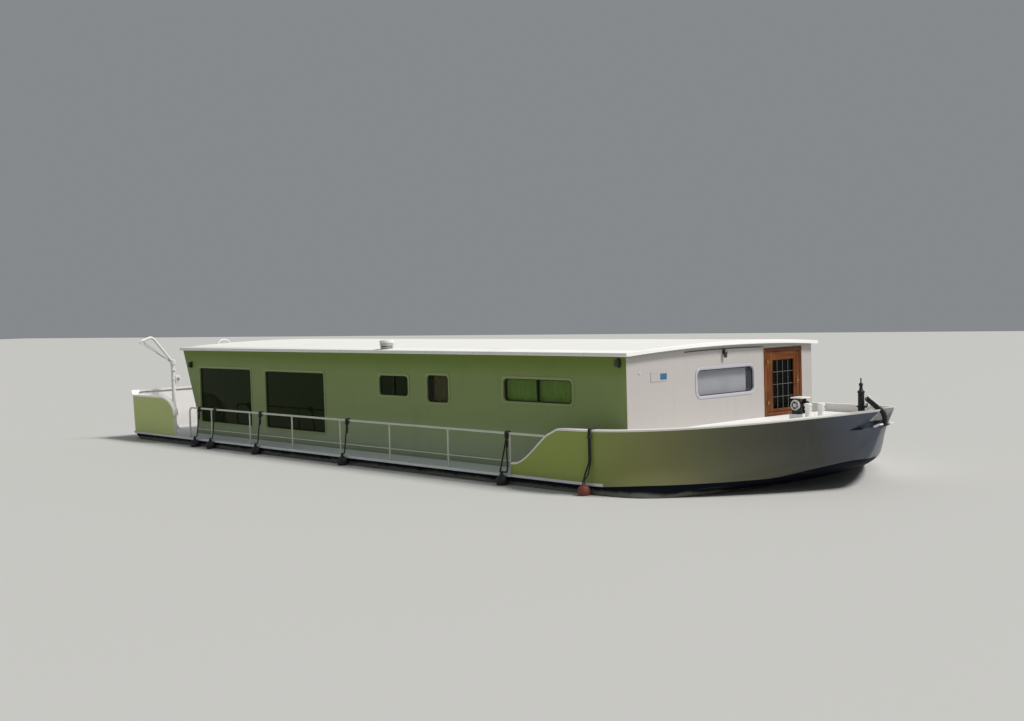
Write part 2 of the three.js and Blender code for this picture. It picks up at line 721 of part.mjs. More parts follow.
// Ball fenders on the starboard side: station, and what the rope is made fast to
const FENDERS = [
  { name: 'fender_1', x: -5540, fast: 'rail' },
  { name: 'fender_2', x: -4920, fast: 'rail' },
  { name: 'fender_3', x: -3230, fast: 'rail' },
  { name: 'fender_4', x: -410, fast: 'rail' },
  { name: 'fender_5', x: 3690, fast: 'rail' },
  { name: 'fender_6', x: 5400, fast: 'cap' },
];
const FENDER = { ball: 125, rope: 16, centreZ: 75 };

function makeFenders() {
  const edge = -HALF_BEAM - DECK_RIM - FENDER.rope - 4;
  const out = -HALF_BEAM - DECK_RIM - FENDER.ball - 2;
  for (const { name, x, fast } of FENDERS) {
    const parts = [ball([x, out, FENDER.centreZ], FENDER.ball, 12)];
    const eye = FENDER.centreZ + FENDER.ball;
    parts.push(bar([x, out, eye - 12], [x, out, eye + 30], 30, 8));
    if (fast === 'rail') {
      const clear = RAIL.tube + FENDER.rope - 2.5;
      parts.push(ring([x, -RAIL.y, RAIL.z], clear, FENDER.rope, X, 8));
      parts.push(bentTube([
        [x, -RAIL.y - clear, RAIL.z], [x, edge, SIDE_DECK_Z + 130], [x, out, eye + 20],
      ], FENDER.rope, 6));
    } else {
      const top = capZ(x) + FENDER.rope - 4;
      const inside = -sideY(x, capZ(x), -CAP.in) + FENDER.rope + 5;
      const outside = -sideY(x, capZ(x), CAP.out) - FENDER.rope - 5;
      parts.push(bentTube([
        [x, inside, top - 90], [x, inside, top], [x, outside, top],
        [x, outside - 8, SIDE_DECK_Z + 200], [x, out, eye + 20],
      ], FENDER.rope, 6));
    }
    addPiece(name, union(parts), PAINT.rope);
  }
}

function makeRoofFittings() {
  const vent = { x: -100, y: -2080 };
  const seat = roofUnderZ(vent.y) + ROOF.thick;
  addPiece('roof_vent', turned([
    [0, seat - 60], [95, seat - 60], [95, seat + 40], [72, seat + 44], [72, seat + 62], [110, seat + 66],
    [110, seat + 84], [78, seat + 88], [78, seat + 104], [122, seat + 110], [122, seat + 150],
    [60, seat + 172], [0, seat + 176],
  ], vent.x, vent.y, 16).subtract(roofSlab(300).translate([0, 0, GAP])), PAINT.steel);
  const hoop = { x: -7000, y0: -1520, y1: -1080, high: 140, tube: 14 };
  const points = [];
  for (let i = 0; i <= 10; i++) {
    const angle = (Math.PI * i) / 10;
    const y = (hoop.y0 + hoop.y1) / 2 - ((hoop.y1 - hoop.y0) / 2) * Math.cos(angle);
    const foot = roofUnderZ(hoop.y0) + ROOF.thick - 20;
    points.push([hoop.x, y, foot + hoop.high * Math.sin(angle) ** 0.7]);
  }
  const under = roofSlab(300).translate([0, 0, GAP]);
  addPiece('roof_hoop', bentTube(points, hoop.tube, 8).subtract(under), PAINT.white);
}

// Davit on the aft deck, with its jib swung out over the starboard quarter
const DAVIT = { x: -8060, y: -1970, post: 42, top: 1560 };

function makeDavit() {
  const { x, y, post, top } = DAVIT;
  const winch = box(x - 60, y + 30, 1150, x + 60, y + 140, 1330);
  addPiece('davit_post', union([
    bar([x, y, SIDE_DECK_Z + GAP], [x, y, top], post, 14),
    bar([x, y, SIDE_DECK_Z + GAP], [x, y, SIDE_DECK_Z + 16], 110, 14),
    winch,
    bar([x - 50, y + 85, 1240], [x - 110, y + 85, 1240], 12, 8),
  ]), PAINT.white);
  const head = bar([x, y, top + GAP], [x, y, top + 110], 58, 14);
  const jib = bentTube([
    [x, y - 10, top + 60], [x, y - 430, 2140], [x, y - 500, 2175], [x, y - 720, 2095],
  ], 30, 8);
  const brace = bentTube([
    [x, y - 40, top + 30], [x, y - 130, 1690], [x, y - 640, 2010], [x, y - 660, 2110],
  ], 12, 6);
  const sheave = bar([x - 16, y - 715, 2075], [x + 16, y - 715, 2075], 45, 12);
  addPiece('davit_jib', union([head, jib, brace, sheave]), PAINT.white);
}

// Anchor windlass on the foredeck
const WINDLASS = {
  x: 6640, y: 470, bed: 930, axis: 1065, bedX: 120, bedY: 125, cheekX: 90, cheekY: 90, bore: 19, shaft: 18,
};

function makeWindlass() {
  const { x, y, bed, axis, bedX, bedY, cheekX, cheekY, bore, shaft } = WINDLASS;
  const cheeks = [y - cheekY, y + cheekY].map((side) => union([
    box(x - cheekX, side - 12, bed - 5, x + cheekX, side + 12, axis + 45),
    box(x - 30, side - 12, axis + 40, x + 30, side + 12, axis + 100),
  ]));
  const plate = box(x - bedX, y - bedY, foredeckZ(x), x + bedX, y + bedY, bed);
  const cover = box(x - 105, y - 112, axis + 95, x + 105, y + 112, axis + 115);
  const hole = bar([x, y - 300, axis], [x, y + 300, axis], bore, 24);
  const frame = union([plate, cover, ...cheeks]).subtract(hole).subtract(underFittings());
  addPiece('windlass_frame', frame, PAINT.iron);
  addPiece('windlass_drum', union([
    bar([x, y - 155, axis], [x, y + 160, axis], shaft, 24),
    bar([x, y - 50, axis], [x, y + 50, axis], 42, 14),
    bar([x, y - 150, axis], [x, y - 115, axis], 78, 16),
    bar([x, y + 112, axis], [x, y + 160, axis], 48, 14),
  ]), PAINT.iron);
}

// Double bollard beside the windlass: where its posts stand, and their height
const BOLLARDS = { posts: [[6870, 330], [7000, 465]], radius: 46, height: 240 };

// Post at the stem head that lines are made fast to
const BOW_POST = { x: 7980, radius: 58, height: 400, knob: 38, arm: 130 };

function makeForedeckFittings() {
  const { posts, radius, height } = BOLLARDS;
  const [aft, fore] = posts;
  const seat = deckTop(fore[0]);
  const bodies = posts.map(([x, y]) => turned([
    [0, seat - 20],
    [radius, seat - 20],
    [radius, seat + height - 40],
    [radius + 16, seat + height - 30],
    [radius + 16, seat + height - 10],
    [0, seat + height],
  ], x, y, 12));
  const flange = 75;
  const plate = planPrism([
    [aft[0] - flange, aft[1] - flange],
    [aft[0] + flange, aft[1] - flange],
    [fore[0] + flange, fore[1] - flange],
    [fore[0] + flange, fore[1] + flange],
    [fore[0] - flange, fore[1] + flange],
    [aft[0] - flange, aft[1] + flange],
  ], seat - 80, seat + 14);
  addPiece('double_bollard', union([plate, ...bodies]).subtract(underFittings()), PAINT.white);

  const { x, knob, arm } = BOW_POST;
  const base = deckTop(x);
  const top = base + BOW_POST.height;
  const armZ = top - 70;
  addPiece('bow_post', union([
    turned([
      [0, base - 40], [85, base - 40], [85, base + 14], [BOW_POST.radius, base + 20],
      [BOW_POST.radius, top - 40], [75, top - 25], [75, top], [30, top + 15], [30, top + 40], [0, top + 40],
    ], x, 0, 12),
    ball([x, 0, top + 62], knob, 10),
    bar([x, -arm, armZ], [x, arm, armZ], 16, 8),
    ball([x, -arm, armZ], 26, 8),
    ball([x, arm, armZ], 26, 8),
  ]).subtract(underFittings()), PAINT.iron);
}

// Roller in the stem head's slot, and the anchor that lies on it
const ROLLER = { x: 8132, z: 946, radius: 38 };
const ANCHOR = {
  crown: 8325, shankEnd: 8100, shank: 26, tilt: 30, stock: 190,
  flukeY: 135, flukeHalf: 48, flukeHigh: 135, flukeFoot: 875,
};
const CHAIN = { links: 4, radius: 27, wire: 9, end: [8076, 1150] };

function makeAnchor() {
  const { x, z, radius } = ROLLER;
  const half = NOTCH.half - GAP;
  addPiece('bow_roller', bar([x, -half, z], [x, half, z], radius, 24), PAINT.steel);
  const { crown, shankEnd, shank, stock, flukeY, flukeHalf, flukeHigh, flukeFoot } = ANCHOR;
  const tilt = THREE.MathUtils.degToRad(ANCHOR.tilt);
  const shankZ = (at) => z + (radius + shank) / Math.cos(tilt) - (at - x) * Math.tan(tilt);
  const arms = bar([crown, -stock, flukeFoot + 10], [crown, stock, flukeFoot + 10], 30, 8);
  const flukes = [-flukeY, flukeY].map((side) => sectionPrism([
    [side - flukeHalf, flukeFoot],
    [side + flukeHalf, flukeFoot],
    [side + flukeHalf / 3, flukeFoot + flukeHigh],
    [side - flukeHalf / 3, flukeFoot + flukeHigh],
  ], crown + 5, crown + 29));
  const from = new THREE.Vector3(shankEnd - 12, 0, shankZ(shankEnd) + 34);
  const to = new THREE.Vector3(CHAIN.end[0], 0, CHAIN.end[1]);
  const links = stations(0, 1, CHAIN.links - 1).map((t, i) => (
    ring(from.clone().lerp(to, t).toArray(), CHAIN.radius, CHAIN.wire, i % 2 ? X : Y, 8)
  ));
  addPiece('anchor_chain', union([
    bar([crown, 0, shankZ(crown)], [shankEnd, 0, shankZ(shankEnd)], shank, 16),
    ring([shankEnd - 10, 0, shankZ(shankEnd) + 8], 32, 11, Y, 12),
    arms, ...flukes, ...links,
  ]), PAINT.iron);
}

// Small fittings on the cabin's walls
function makeWallFittings() {
  const lamp = (place, u, v) => union([
    place(roundedRect(u - 45, v - 70, u + 45, v + 70, 20), GAP, 22),
    place(roundedRect(u - 35, v - 55, u + 35, v + 45, 18), 20, 80),
  ]);
  addPiece('lamp_front', lamp(onFront, -50, 1840), PAINT.lamp);
  addPiece('lamp_side_fore', lamp(onStarboard, 5490, 1800), PAINT.lamp);
  addPiece('lamp_side_aft', lamp(onStarboard, -6790, 1590), PAINT.lamp);
  addPiece('name_plate', onFront(roundedRect(-1700, 1500, -1340, 1640, 12), GAP, 8), PAINT.white);
}

function makeSternGear() {
  const { x, stock, heel } = RUDDER;
  const skeg = profilePrism([
    [-5500, KEEL_Z + 20], [-7120, -330], [-7120, heel + 45], [x + 60, heel + 45], [x + 60, heel],
    [-6400, heel],
  ].reverse(), -30, 30);
  const tube = bar([-6700, 0, PROPELLER.z], [PROPELLER.x + 120, 0, PROPELLER.z], 60, 14);
  const sole = box(x - 70, -35, heel, x + 100, 35, heel + 45);
  const pintle = bar([x, 0, heel + 20], [x, 0, heel + 80], 20, 24);
  const bore = bar([PROPELLER.x - 100, 0, PROPELLER.z], [-6900, 0, PROPELLER.z], PROPELLER.shaft + 1, 24);
  addPiece('skeg', union([skeg, tube, sole, pintle]).subtract(WHOLE.translate([0, 0, -GAP])).subtract(bore),
    PAINT.navy);

  const blade = planPrism([
    [x + 130, 0], [x + 60, 26], [x - 60, 26], [x - 380, 6], [x - 380, -6], [x - 60, -26], [x + 60, -26],
  ].reverse(), heel + 55, -240);
  const stockBar = bar([x, 0, heel + 55], [x, 0, 0], stock, 24);
  const socket = bar([x, 0, heel + 50], [x, 0, heel + 88], 21, 24);
  addPiece('rudder', union([blade, stockBar]).subtract(socket), PAINT.navy);

  const hub = bar([PROPELLER.x - 70, 0, PROPELLER.z], [PROPELLER.x + 70, 0, PROPELLER.z], 48, 14);
  const shaft = bar([PROPELLER.x, 0, PROPELLER.z], [-6950, 0, PROPELLER.z], PROPELLER.shaft, 24);
  const parts = [hub, shaft];
  for (let i = 0; i < 4; i++) {
    const outline = roundedRect(-60, 30, 60, PROPELLER.radius, 55, 4);
    const geometry = toGeometry(prism(outline, -6, 6, Y, Z, X));
    geometry.rotateZ(THREE.MathUtils.degToRad(32));
    geometry.rotateX((Math.PI / 2) * i);
    geometry.translate(PROPELLER.x, 0, PROPELLER.z);
    parts.push(toSolid(geometry));
  }
  addPiece('propeller', union(parts), PAINT.bronze);
}

makeHull();
makeSideDeck();
makeForeTopside();
makeForeCap();
makeForedeck();
makeStern();
makeRoof();
makeCabinSides();
makeFrontWall();
makeAftWall();
makeDoors();
makeInside();
makeRailings();
makeFenders();
makeRoofFittings();
makeDavit();
makeWindlass();
makeForedeckFittings();
makeAnchor();
makeWallFittings();
makeSternGear();

export default boat;
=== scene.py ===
"""The looks of a moored houseboat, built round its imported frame.

Metres, +X to the bow, +Y to port, +Z up. The waterline is at z = 0, and the floor of the scene with it.
"""
from __future__ import annotations

import json
import logging
import math
from dataclasses import dataclass, field
from enum import Enum
from typing import Callable, ClassVar, Sequence

import bmesh
import bpy
from mathutils import Matrix, Vector

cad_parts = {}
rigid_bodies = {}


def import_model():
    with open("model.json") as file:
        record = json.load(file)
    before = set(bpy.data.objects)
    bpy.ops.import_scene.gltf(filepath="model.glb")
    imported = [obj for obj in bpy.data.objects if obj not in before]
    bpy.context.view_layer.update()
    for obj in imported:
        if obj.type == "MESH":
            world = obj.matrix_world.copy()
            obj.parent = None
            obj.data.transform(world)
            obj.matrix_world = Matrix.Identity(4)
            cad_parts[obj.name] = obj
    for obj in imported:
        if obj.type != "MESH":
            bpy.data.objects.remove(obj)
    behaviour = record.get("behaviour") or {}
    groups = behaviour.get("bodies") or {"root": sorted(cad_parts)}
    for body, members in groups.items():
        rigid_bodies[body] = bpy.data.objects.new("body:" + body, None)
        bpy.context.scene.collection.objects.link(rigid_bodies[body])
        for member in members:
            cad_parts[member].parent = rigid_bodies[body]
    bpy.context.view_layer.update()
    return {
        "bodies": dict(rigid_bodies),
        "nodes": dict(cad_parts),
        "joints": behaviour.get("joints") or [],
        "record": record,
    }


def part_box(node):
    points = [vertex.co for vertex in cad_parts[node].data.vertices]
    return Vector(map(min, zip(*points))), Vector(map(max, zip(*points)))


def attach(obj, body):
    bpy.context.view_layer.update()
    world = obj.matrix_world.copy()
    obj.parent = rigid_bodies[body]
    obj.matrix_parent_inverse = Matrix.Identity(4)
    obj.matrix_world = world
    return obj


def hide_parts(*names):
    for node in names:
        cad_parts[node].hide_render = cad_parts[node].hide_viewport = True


LOG = logging.getLogger("houseboat")
Flat = tuple[float, float]
Colour = tuple[float, float, float]
Place = Callable[[float, float, float], Vector]

X_AXIS = Vector((1, 0, 0))
Y_AXIS = Vector((0, 1, 0))
Z_AXIS = Vector((0, 0, 1))

# Far beyond every side of the boat, for shapes that only cut
FAR = 9.5
# Keeps faces that would lie on each other apart
GAP = 0.0003
# Top of the side decks, and the middle of the railings' top tubes
DECK_TOP = 0.16
RAIL_Y = 2.72
RAIL_TOP = 0.757


class Slot(Enum):
    """The record's material slots."""

    WHITE = "white_paint"
    WALL = "wall_paint"
    BOTTOM = "bottom_paint"
    DECK = "deck_paint"
    ROOF = "roof_paint"
    WOOD = "varnished_wood"
    FLOOR = "floor_wood"
    GLASS = "window_glass"
    IRON = "black_iron"
    STEEL = "grey_steel"
    BRONZE = "bronze"
    ROPE = "rope"
    LAMP = "lamp_body"


class Body(Enum):
    """The bodies that pieces ride on."""

    BOAT = "boat"
    FRONT_DOOR = "front_door"
    AFT_DOOR = "aft_door"
    DAVIT = "davit"
    WINDLASS = "windlass"
    STEERING = "steering"
    SCREW = "screw"


# Shader maths


class Wire:
    """One output of a shader node, which takes part in Python maths."""

    def __init__(self, bench: "Bench", socket: bpy.types.NodeSocket) -> None:
        """Keeps the bench that the socket belongs to."""
        self.bench = bench
        self.socket = socket

    def _maths(self, operation: str, first: "Wire | float", second: "Wire | float") -> "Wire":
        """One Math node on two values."""
        return self.bench.node("ShaderNodeMath", {"operation": operation}, {0: first, 1: second})

    def __add__(self, other: "Wire | float") -> "Wire":
        """Sum."""
        return self._maths("ADD", self, other)

    __radd__ = __add__

    def __sub__(self, other: "Wire | float") -> "Wire":
        """Difference."""
        return self._maths("SUBTRACT", self, other)

    def __rsub__(self, other: float) -> "Wire":
        """A number less this wire."""
        return self._maths("SUBTRACT", other, self)

    def __mul__(self, other: "Wire | float") -> "Wire":
        """Product."""
        return self._maths("MULTIPLY", self, other)

    def __truediv__(self, other: "Wire | float") -> "Wire":
        """Quotient."""
        return self._maths("DIVIDE", self, other)

    def sine(self) -> "Wire":
        """Sine of the value in radians."""
        return self._maths("SINE", self, 0.0)

    def whole(self) -> "Wire":
        """The value rounded down."""
        return self._maths("FLOOR", self, 0.0)

    def part(self) -> "Wire":
        """The part of the value after its point."""
        return self._maths("FRACT", self, 0.0)

    def size(self) -> "Wire":
        """The value without its sign."""
        return self._maths("ABSOLUTE", self, 0.0)

    def rise(self, low: float, high: float) -> "Wire":
        """A smooth step.

        Args:
            low: Value at which the result is 0.
            high: Value at which the result is 1.

        Returns:
            The stepped value, from 0 to 1.
        """
        settings = {"interpolation_type": "SMOOTHSTEP", "clamp": True}
        return self.bench.node("ShaderNodeMapRange", settings, {0: self, 1: low, 2: high})


class Bench:
    """The node tree of one material, and the ways to add to it."""

    def __init__(self, name: str) -> None:
        """Makes an empty material of that name."""
        self.material = bpy.data.materials.new(name)
        self.material.use_nodes = True
        self.tree = self.material.node_tree
        self.tree.nodes.clear()

    def node(self, kind: str, settings: dict | None = None, inputs: dict | None = None,
             out: int | str = 0) -> Wire:
        """Adds any node.

        Args:
            kind: The node's type.
            settings: Its settings. The key stops holds a ramp's [place, colour] pairs.
            inputs: Values or wires for its sockets, by number or name.
            out: The output that is returned.

        Returns:
            The wire of that output.
        """
        made = self.tree.nodes.new(kind)
        for key, value in (settings or {}).items():
            if key == "stops":
                stops = made.color_ramp.elements
                for place, colour in value[2:]:
                    stops.new(place)
                for stop, (place, colour) in zip(stops, value):
                    stop.position = place
                    stop.color = (*colour, 1)
            else:
                setattr(made, key, value)
        for key, value in (inputs or {}).items():
            if isinstance(value, Wire):
                self.tree.links.new(value.socket, made.inputs[key])
            elif isinstance(value, tuple) and len(value) == 3 and made.inputs[key].type == "RGBA":
                made.inputs[key].default_value = (*value, 1)
            else:
                made.inputs[key].default_value = value
        return Wire(self, made.outputs[out])

    def place(self) -> Wire:
        """Place on the boat, in metres."""
        return self.node("ShaderNodeTexCoord", out="Object")

    def axes(self, place: Wire) -> tuple[Wire, Wire, Wire]:
        """The x, y and z of a place."""
        split = self.node("ShaderNodeSeparateXYZ", inputs={0: place}).socket.node
        return tuple(Wire(self, out) for out in split.outputs)

    def stretched(self, place: Wire, scale: tuple[float, float, float]) -> Wire:
        """A place scaled on each axis."""
        return self.node("ShaderNodeMapping", inputs={"Vector": place, "Scale": scale})

    def noise(self, place: Wire, scale: float, detail: float = 3.0, rough: float = 0.55) -> Wire:
        """Soft noise from 0 to 1."""
        return self.node("ShaderNodeTexNoise", inputs={
            "Vector": place, "Scale": scale, "Detail": detail, "Roughness": rough})

    def cells(self, place: Wire, scale: float) -> Wire:
        """Distance to the nearest of scattered points."""
        return self.node("ShaderNodeTexVoronoi", inputs={"Vector": place, "Scale": scale})

    def mix(self, share: Wire | float, first: Wire | Colour, second: Wire | Colour) -> Wire:
        """Two colours mixed, the first at share 0."""
        return self.node("ShaderNodeMix", {"data_type": "RGBA"}, {0: share, 6: first, 7: second}, out=2)

    def bump(self, height: Wire, distance: float, strength: float = 1.0,
             under: Wire | None = None) -> Wire:
        """A normal bent by a height, over another such normal if one is given."""
        inputs = {"Height": height, "Distance": distance, "Strength": strength}
        if under is not None:
            inputs["Normal"] = under
        return self.node("ShaderNodeBump", inputs=inputs)

    def surface(self, **inputs: Wire | float | Colour) -> bpy.types.Material:
        """Ends the tree with a Principled shader.

        Args:
            inputs: Its sockets, with _ for the blanks in their names.

        Returns:
            The finished material.
        """
        named = {key.replace("_", " "): value for key, value in inputs.items()}
        shader = self.node("ShaderNodeBsdfPrincipled", inputs=named)
        output = self.tree.nodes.new("ShaderNodeOutputMaterial")
        self.tree.links.new(shader.socket, output.inputs[0])
        return self.material


# Finishes


@dataclass(frozen=True)
class Finish:
    """A finish that is made once and then shared."""

    made: ClassVar[dict[str, bpy.types.Material]] = {}
    name: str

    def get(self) -> bpy.types.Material:
        """The material of this finish."""
        if self.name not in Finish.made:
            Finish.made[self.name] = self.build(Bench(self.name))
        return Finish.made[self.name]


@dataclass(frozen=True)
class Paint(Finish):
    """Brushed yacht paint on plate or panel, with rain streaks and grime. Its optional tones are painted
    shade and painted reflection, and its port colour is the unshaded paint.
    """

    colour: Colour
    soil: Colour = (0.30, 0.29, 0.22)
    streaks: float = 0.25
    waves: float = 0.004
    roughness: float = 0.38
    # Colours along one axis that are painted shade and painted reflection
    painted_shade_tones: tuple[tuple[float, Colour], ...] = ()
    tone_axis: int = 0
    tone_ends: Flat = (3.8, 8.4)
    # The unshaded paint, which takes over on the port side from the painted shade
    port: Colour | None = None
    port_edge: Flat = (0.35, 1.5)
    grime_top: float = -1.0

    def build(self, bench: Bench) -> bpy.types.Material:
        """The paint's nodes, from broad stains to brush marks."""
        place = bench.place()
        axes = bench.axes(place)
        _, y, z = axes
        cloudy = bench.noise(place, 0.9, 4.0)
        runs = bench.noise(bench.stretched(place, (5.0, 5.0, 0.35)), 1.6, 5.0, 0.6)
        specks = bench.noise(place, 46.0, 2.0)
        stains = runs.rise(0.52, 0.86) * self.streaks + cloudy.rise(0.45, 0.95) * self.streaks * 0.5
        colour = self.colour
        # Painted shade and painted reflection: colour set by place along one axis
        if self.painted_shade_tones:
            low, high = self.tone_ends
            share = (axes[self.tone_axis] - low) / (high - low) + cloudy * 0.06 - 0.03
            colour = bench.node("ShaderNodeValToRGB", {"stops": self.painted_shade_tones}, {0: share})
        # The port side gets the unshaded paint; the starboard side keeps the painted shade
        if self.port:
            colour = bench.mix(y.rise(*self.port_edge), colour, self.port)
        colour = bench.mix(stains, colour, self.soil)
        if self.grime_top > -1:
            low = 1 - (z + cloudy * 0.12).rise(self.grime_top - 0.1, self.grime_top + 0.14)
            colour = bench.mix(low * 0.55, colour, self.soil)
        colour = bench.mix(specks.rise(0.62, 0.9) * 0.12, colour, self.soil)
        plates = bench.noise(bench.stretched(place, (0.9, 0.9, 1.6)), 1.1, 2.0)
        brushed = bench.noise(bench.stretched(place, (9.0, 9.0, 60.0)), 6.0, 3.0)
        normal = bench.bump(plates, self.waves, 0.5)
        normal = bench.bump(brushed, 0.0006, 0.35, normal)
        return bench.surface(
            Base_Color=colour, Roughness=self.roughness + runs * 0.14 + stains * 0.25,
            Normal=normal, Specular_IOR_Level=0.2, Coat_Weight=0.05, Coat_Roughness=0.2)


@dataclass(frozen=True)
class RoofPaint(Finish):
    """Thick sun-bleached coating over roof sheets, with seams and pooled dirt."""

    colour: Colour
    sheet: float = 1.22
    soil: Colour = (0.42, 0.42, 0.34)

    def build(self, bench: Bench) -> bpy.types.Material:
        """The coating's nodes."""
        place = bench.place()
        x, _, _ = bench.axes(place)
        pools = bench.noise(place, 1.3, 5.0)
        grit = bench.noise(place, 90.0, 2.0)
        seam = ((x / self.sheet).part() - 0.5).size()
        line = seam.rise(0.485, 0.497)
        dirt = pools.rise(0.55, 0.85) * 0.22 + line * 0.3 + grit.rise(0.6, 0.9) * 0.08
        normal = bench.bump(grit, 0.0012, 0.6)
        normal = bench.bump(line * -1.0, 0.003, 0.6, normal)
        return bench.surface(Base_Color=bench.mix(dirt, self.colour, self.soil),
                             Roughness=0.62 + pools * 0.2, Normal=normal)


@dataclass(frozen=True)
class DeckPaint(Finish):
    """Paint with grit in it, worn smooth in patches."""

    colour: Colour
    worn: Colour

    def build(self, bench: Bench) -> bpy.types.Material:
        """The grit paint's nodes."""
        place = bench.place()
        grit = bench.cells(place, 260.0)
        patches = bench.noise(place, 2.2, 6.0, 0.65)
        wet = bench.noise(bench.stretched(place, (0.8, 3.0, 1.0)), 1.4, 4.0)
        wear = patches.rise(0.5, 0.75)
        colour = bench.mix(wear * 0.45 + grit * 0.1, self.colour, self.worn)
        colour = bench.mix(wet.rise(0.58, 0.8) * 0.15, colour, (0.16, 0.17, 0.16))
        normal = bench.bump(grit, 0.0016, 0.7)
        return bench.surface(Base_Color=colour, Roughness=0.74 - wear * 0.18, Normal=normal)


@dataclass(frozen=True)
class BottomPaint(Finish):
    """Dark hull coating with a scum line at the water, and growth below it."""

    colour: Colour
    scum: Colour = (0.24, 0.25, 0.20)
    growth: Colour = (0.045, 0.055, 0.03)

    def build(self, bench: Bench) -> bpy.types.Material:
        """The coating's nodes."""
        place = bench.place()
        _, _, z = bench.axes(place)
        edge = bench.noise(place, 3.0, 6.0, 0.65)
        rubs = bench.noise(bench.stretched(place, (0.6, 0.6, 14.0)), 3.0, 5.0)
        level = z + (edge - 0.5) * 0.1
        band = level.rise(-0.02, 0.015) * (1 - level.rise(0.03, 0.085))
        below = 1 - level.rise(-0.06, 0.01)
        colour = bench.mix(rubs.rise(0.56, 0.8) * 0.3, self.colour, (0.11, 0.13, 0.16))
        colour = bench.mix(band * 0.6, colour, self.scum)
        colour = bench.mix(below * 0.8, colour, self.growth)
        normal = bench.bump(edge, 0.004, 0.5)
        normal = bench.bump(bench.noise(place, 60.0, 3.0), 0.001, 0.4, normal)
        return bench.surface(Base_Color=colour, Roughness=0.5 + edge * 0.3, Normal=normal,
                             Specular_IOR_Level=0.06)


@dataclass(frozen=True)
class Varnish(Finish):
    """Varnished hardwood with its grain along one axis."""

    along: tuple[float, float, float]
    light: Colour = (0.20, 0.060, 0.010)
    dark: Colour = (0.060, 0.013, 0.003)
    coat: float = 0.1

    def build(self, bench: Bench) -> bpy.types.Material:
        """The wood's nodes: growth rings bent by noise, pores and weathered patches."""
        place = bench.place()
        stretch = tuple(1.2 if share else 26.0 for share in self.along)
        grain_place = bench.stretched(place, stretch)
        rings = bench.noise(grain_place, 1.1, 6.0, 0.7)
        pores = bench.noise(bench.stretched(place, tuple(4.0 if a else 320.0 for a in self.along)), 1.0, 2.0)
        faded = bench.noise(place, 4.0, 4.0)
        colour = bench.mix(rings.rise(0.34, 0.66), self.dark, self.light)
        colour = bench.mix(faded.rise(0.5, 0.8) * 0.45, colour, (0.30, 0.13, 0.03))
        colour = bench.mix(pores.rise(0.6, 0.85) * 0.4, colour, self.dark)
        normal = bench.bump(pores, 0.0005, 0.5)
        return bench.surface(Base_Color=colour, Roughness=0.40 + faded * 0.2, Normal=normal,
                             Specular_IOR_Level=0.2, Coat_Weight=self.coat, Coat_Roughness=0.2)


@dataclass(frozen=True)
class Planks(Finish):
    """Floor planks that run fore and aft."""

    width: float = 0.14

    def build(self, bench: Bench) -> bpy.types.Material:
        """The planks' nodes: a tone for each plank, grain and dark joints."""
        place = bench.place()
        _, y, _ = bench.axes(place)
        across = y / self.width
        tone = bench.node("ShaderNodeTexWhiteNoise", {"noise_dimensions": "1D"}, {"W": across.whole()})
        grain = bench.noise(bench.stretched(place, (1.5, 30.0, 30.0)), 1.2, 5.0)
        joint = ((across.part() - 0.5).size()).rise(0.47, 0.495)
        colour = bench.mix(tone * 0.6 + grain * 0.4, (0.24, 0.13, 0.06), (0.44, 0.28, 0.15))
        colour = bench.mix(joint, colour, (0.04, 0.025, 0.015))
        return bench.surface(Base_Color=colour, Roughness=0.45 + grain * 0.15,
                             Normal=bench.bump(1 - joint, 0.002, 0.8))


@dataclass(frozen=True)
class Pane(Finish):
    """Window glass: glossy and slightly wavy, with a thin veil of dust. The green tint of its reflections is
    a painted reflection, and a dark tint that lets little through is painted shade.
    """

    tint: Colour
    clear: float

    def build(self, bench: Bench) -> bpy.types.Material:
        """The glass's nodes."""
        place = bench.place()
        waves = bench.noise(place, 0.8, 1.0)
        dust = bench.noise(place, 7.0, 5.0)
        veil = dust.rise(0.55, 0.9) * 0.03
        colour = bench.mix(veil, self.tint, (0.30, 0.32, 0.24))
        # The green Specular Tint is a painted reflection of green surroundings
        return bench.surface(Base_Color=colour, Roughness=0.03 + veil, Alpha=1 - self.clear + veil,
                             Normal=bench.bump(waves, 0.002, 0.25), Specular_IOR_Level=0.05,
                             Specular_Tint=(0.50, 0.62, 0.30))


@dataclass(frozen=True)
class Metal(Finish):
    """Painted or bare metal, with patches of rust."""

    colour: Colour
    roughness: float = 0.45
    metallic: float = 0.6
    rust: float = 0.1
    pits: float = 0.0008

    def build(self, bench: Bench) -> bpy.types.Material:
        """The metal's nodes."""
        place = bench.place()
        cast = bench.noise(place, 70.0, 4.0)
        patches = bench.noise(place, 9.0, 5.0, 0.65)
        mask = patches.rise(0.58, 0.78) * self.rust
        tone = bench.mix(cast * 0.35, self.colour, tuple(c * 0.72 for c in self.colour))
        colour = bench.mix(mask, tone, (0.17, 0.065, 0.022))
        return bench.surface(
            Base_Color=colour, Metallic=self.metallic - mask * self.metallic * 0.8,
            Roughness=self.roughness + cast * 0.14 + mask * 0.3, Normal=bench.bump(cast, self.pits, 0.6))


@dataclass(frozen=True)
class Yarn(Finish):
    """Weathered synthetic rope strands."""

    colour: Colour

    def build(self, bench: Bench) -> bpy.types.Material:
        """The yarn's nodes: fine fibres and pale wear."""
        place = bench.place()
        fibres = bench.noise(place, 620.0, 2.0)
        worn = bench.noise(place, 24.0, 3.0)
        colour = bench.mix(fibres * 0.5, self.colour, tuple(c * 2.2 + 0.01 for c in self.colour))
        colour = bench.mix(worn.rise(0.62, 0.85) * 0.3, colour, (0.16, 0.17, 0.12))
        return bench.surface(Base_Color=colour, Roughness=0.85, Normal=bench.bump(fibres, 0.0008, 0.8),
                             Sheen_Weight=0.15)


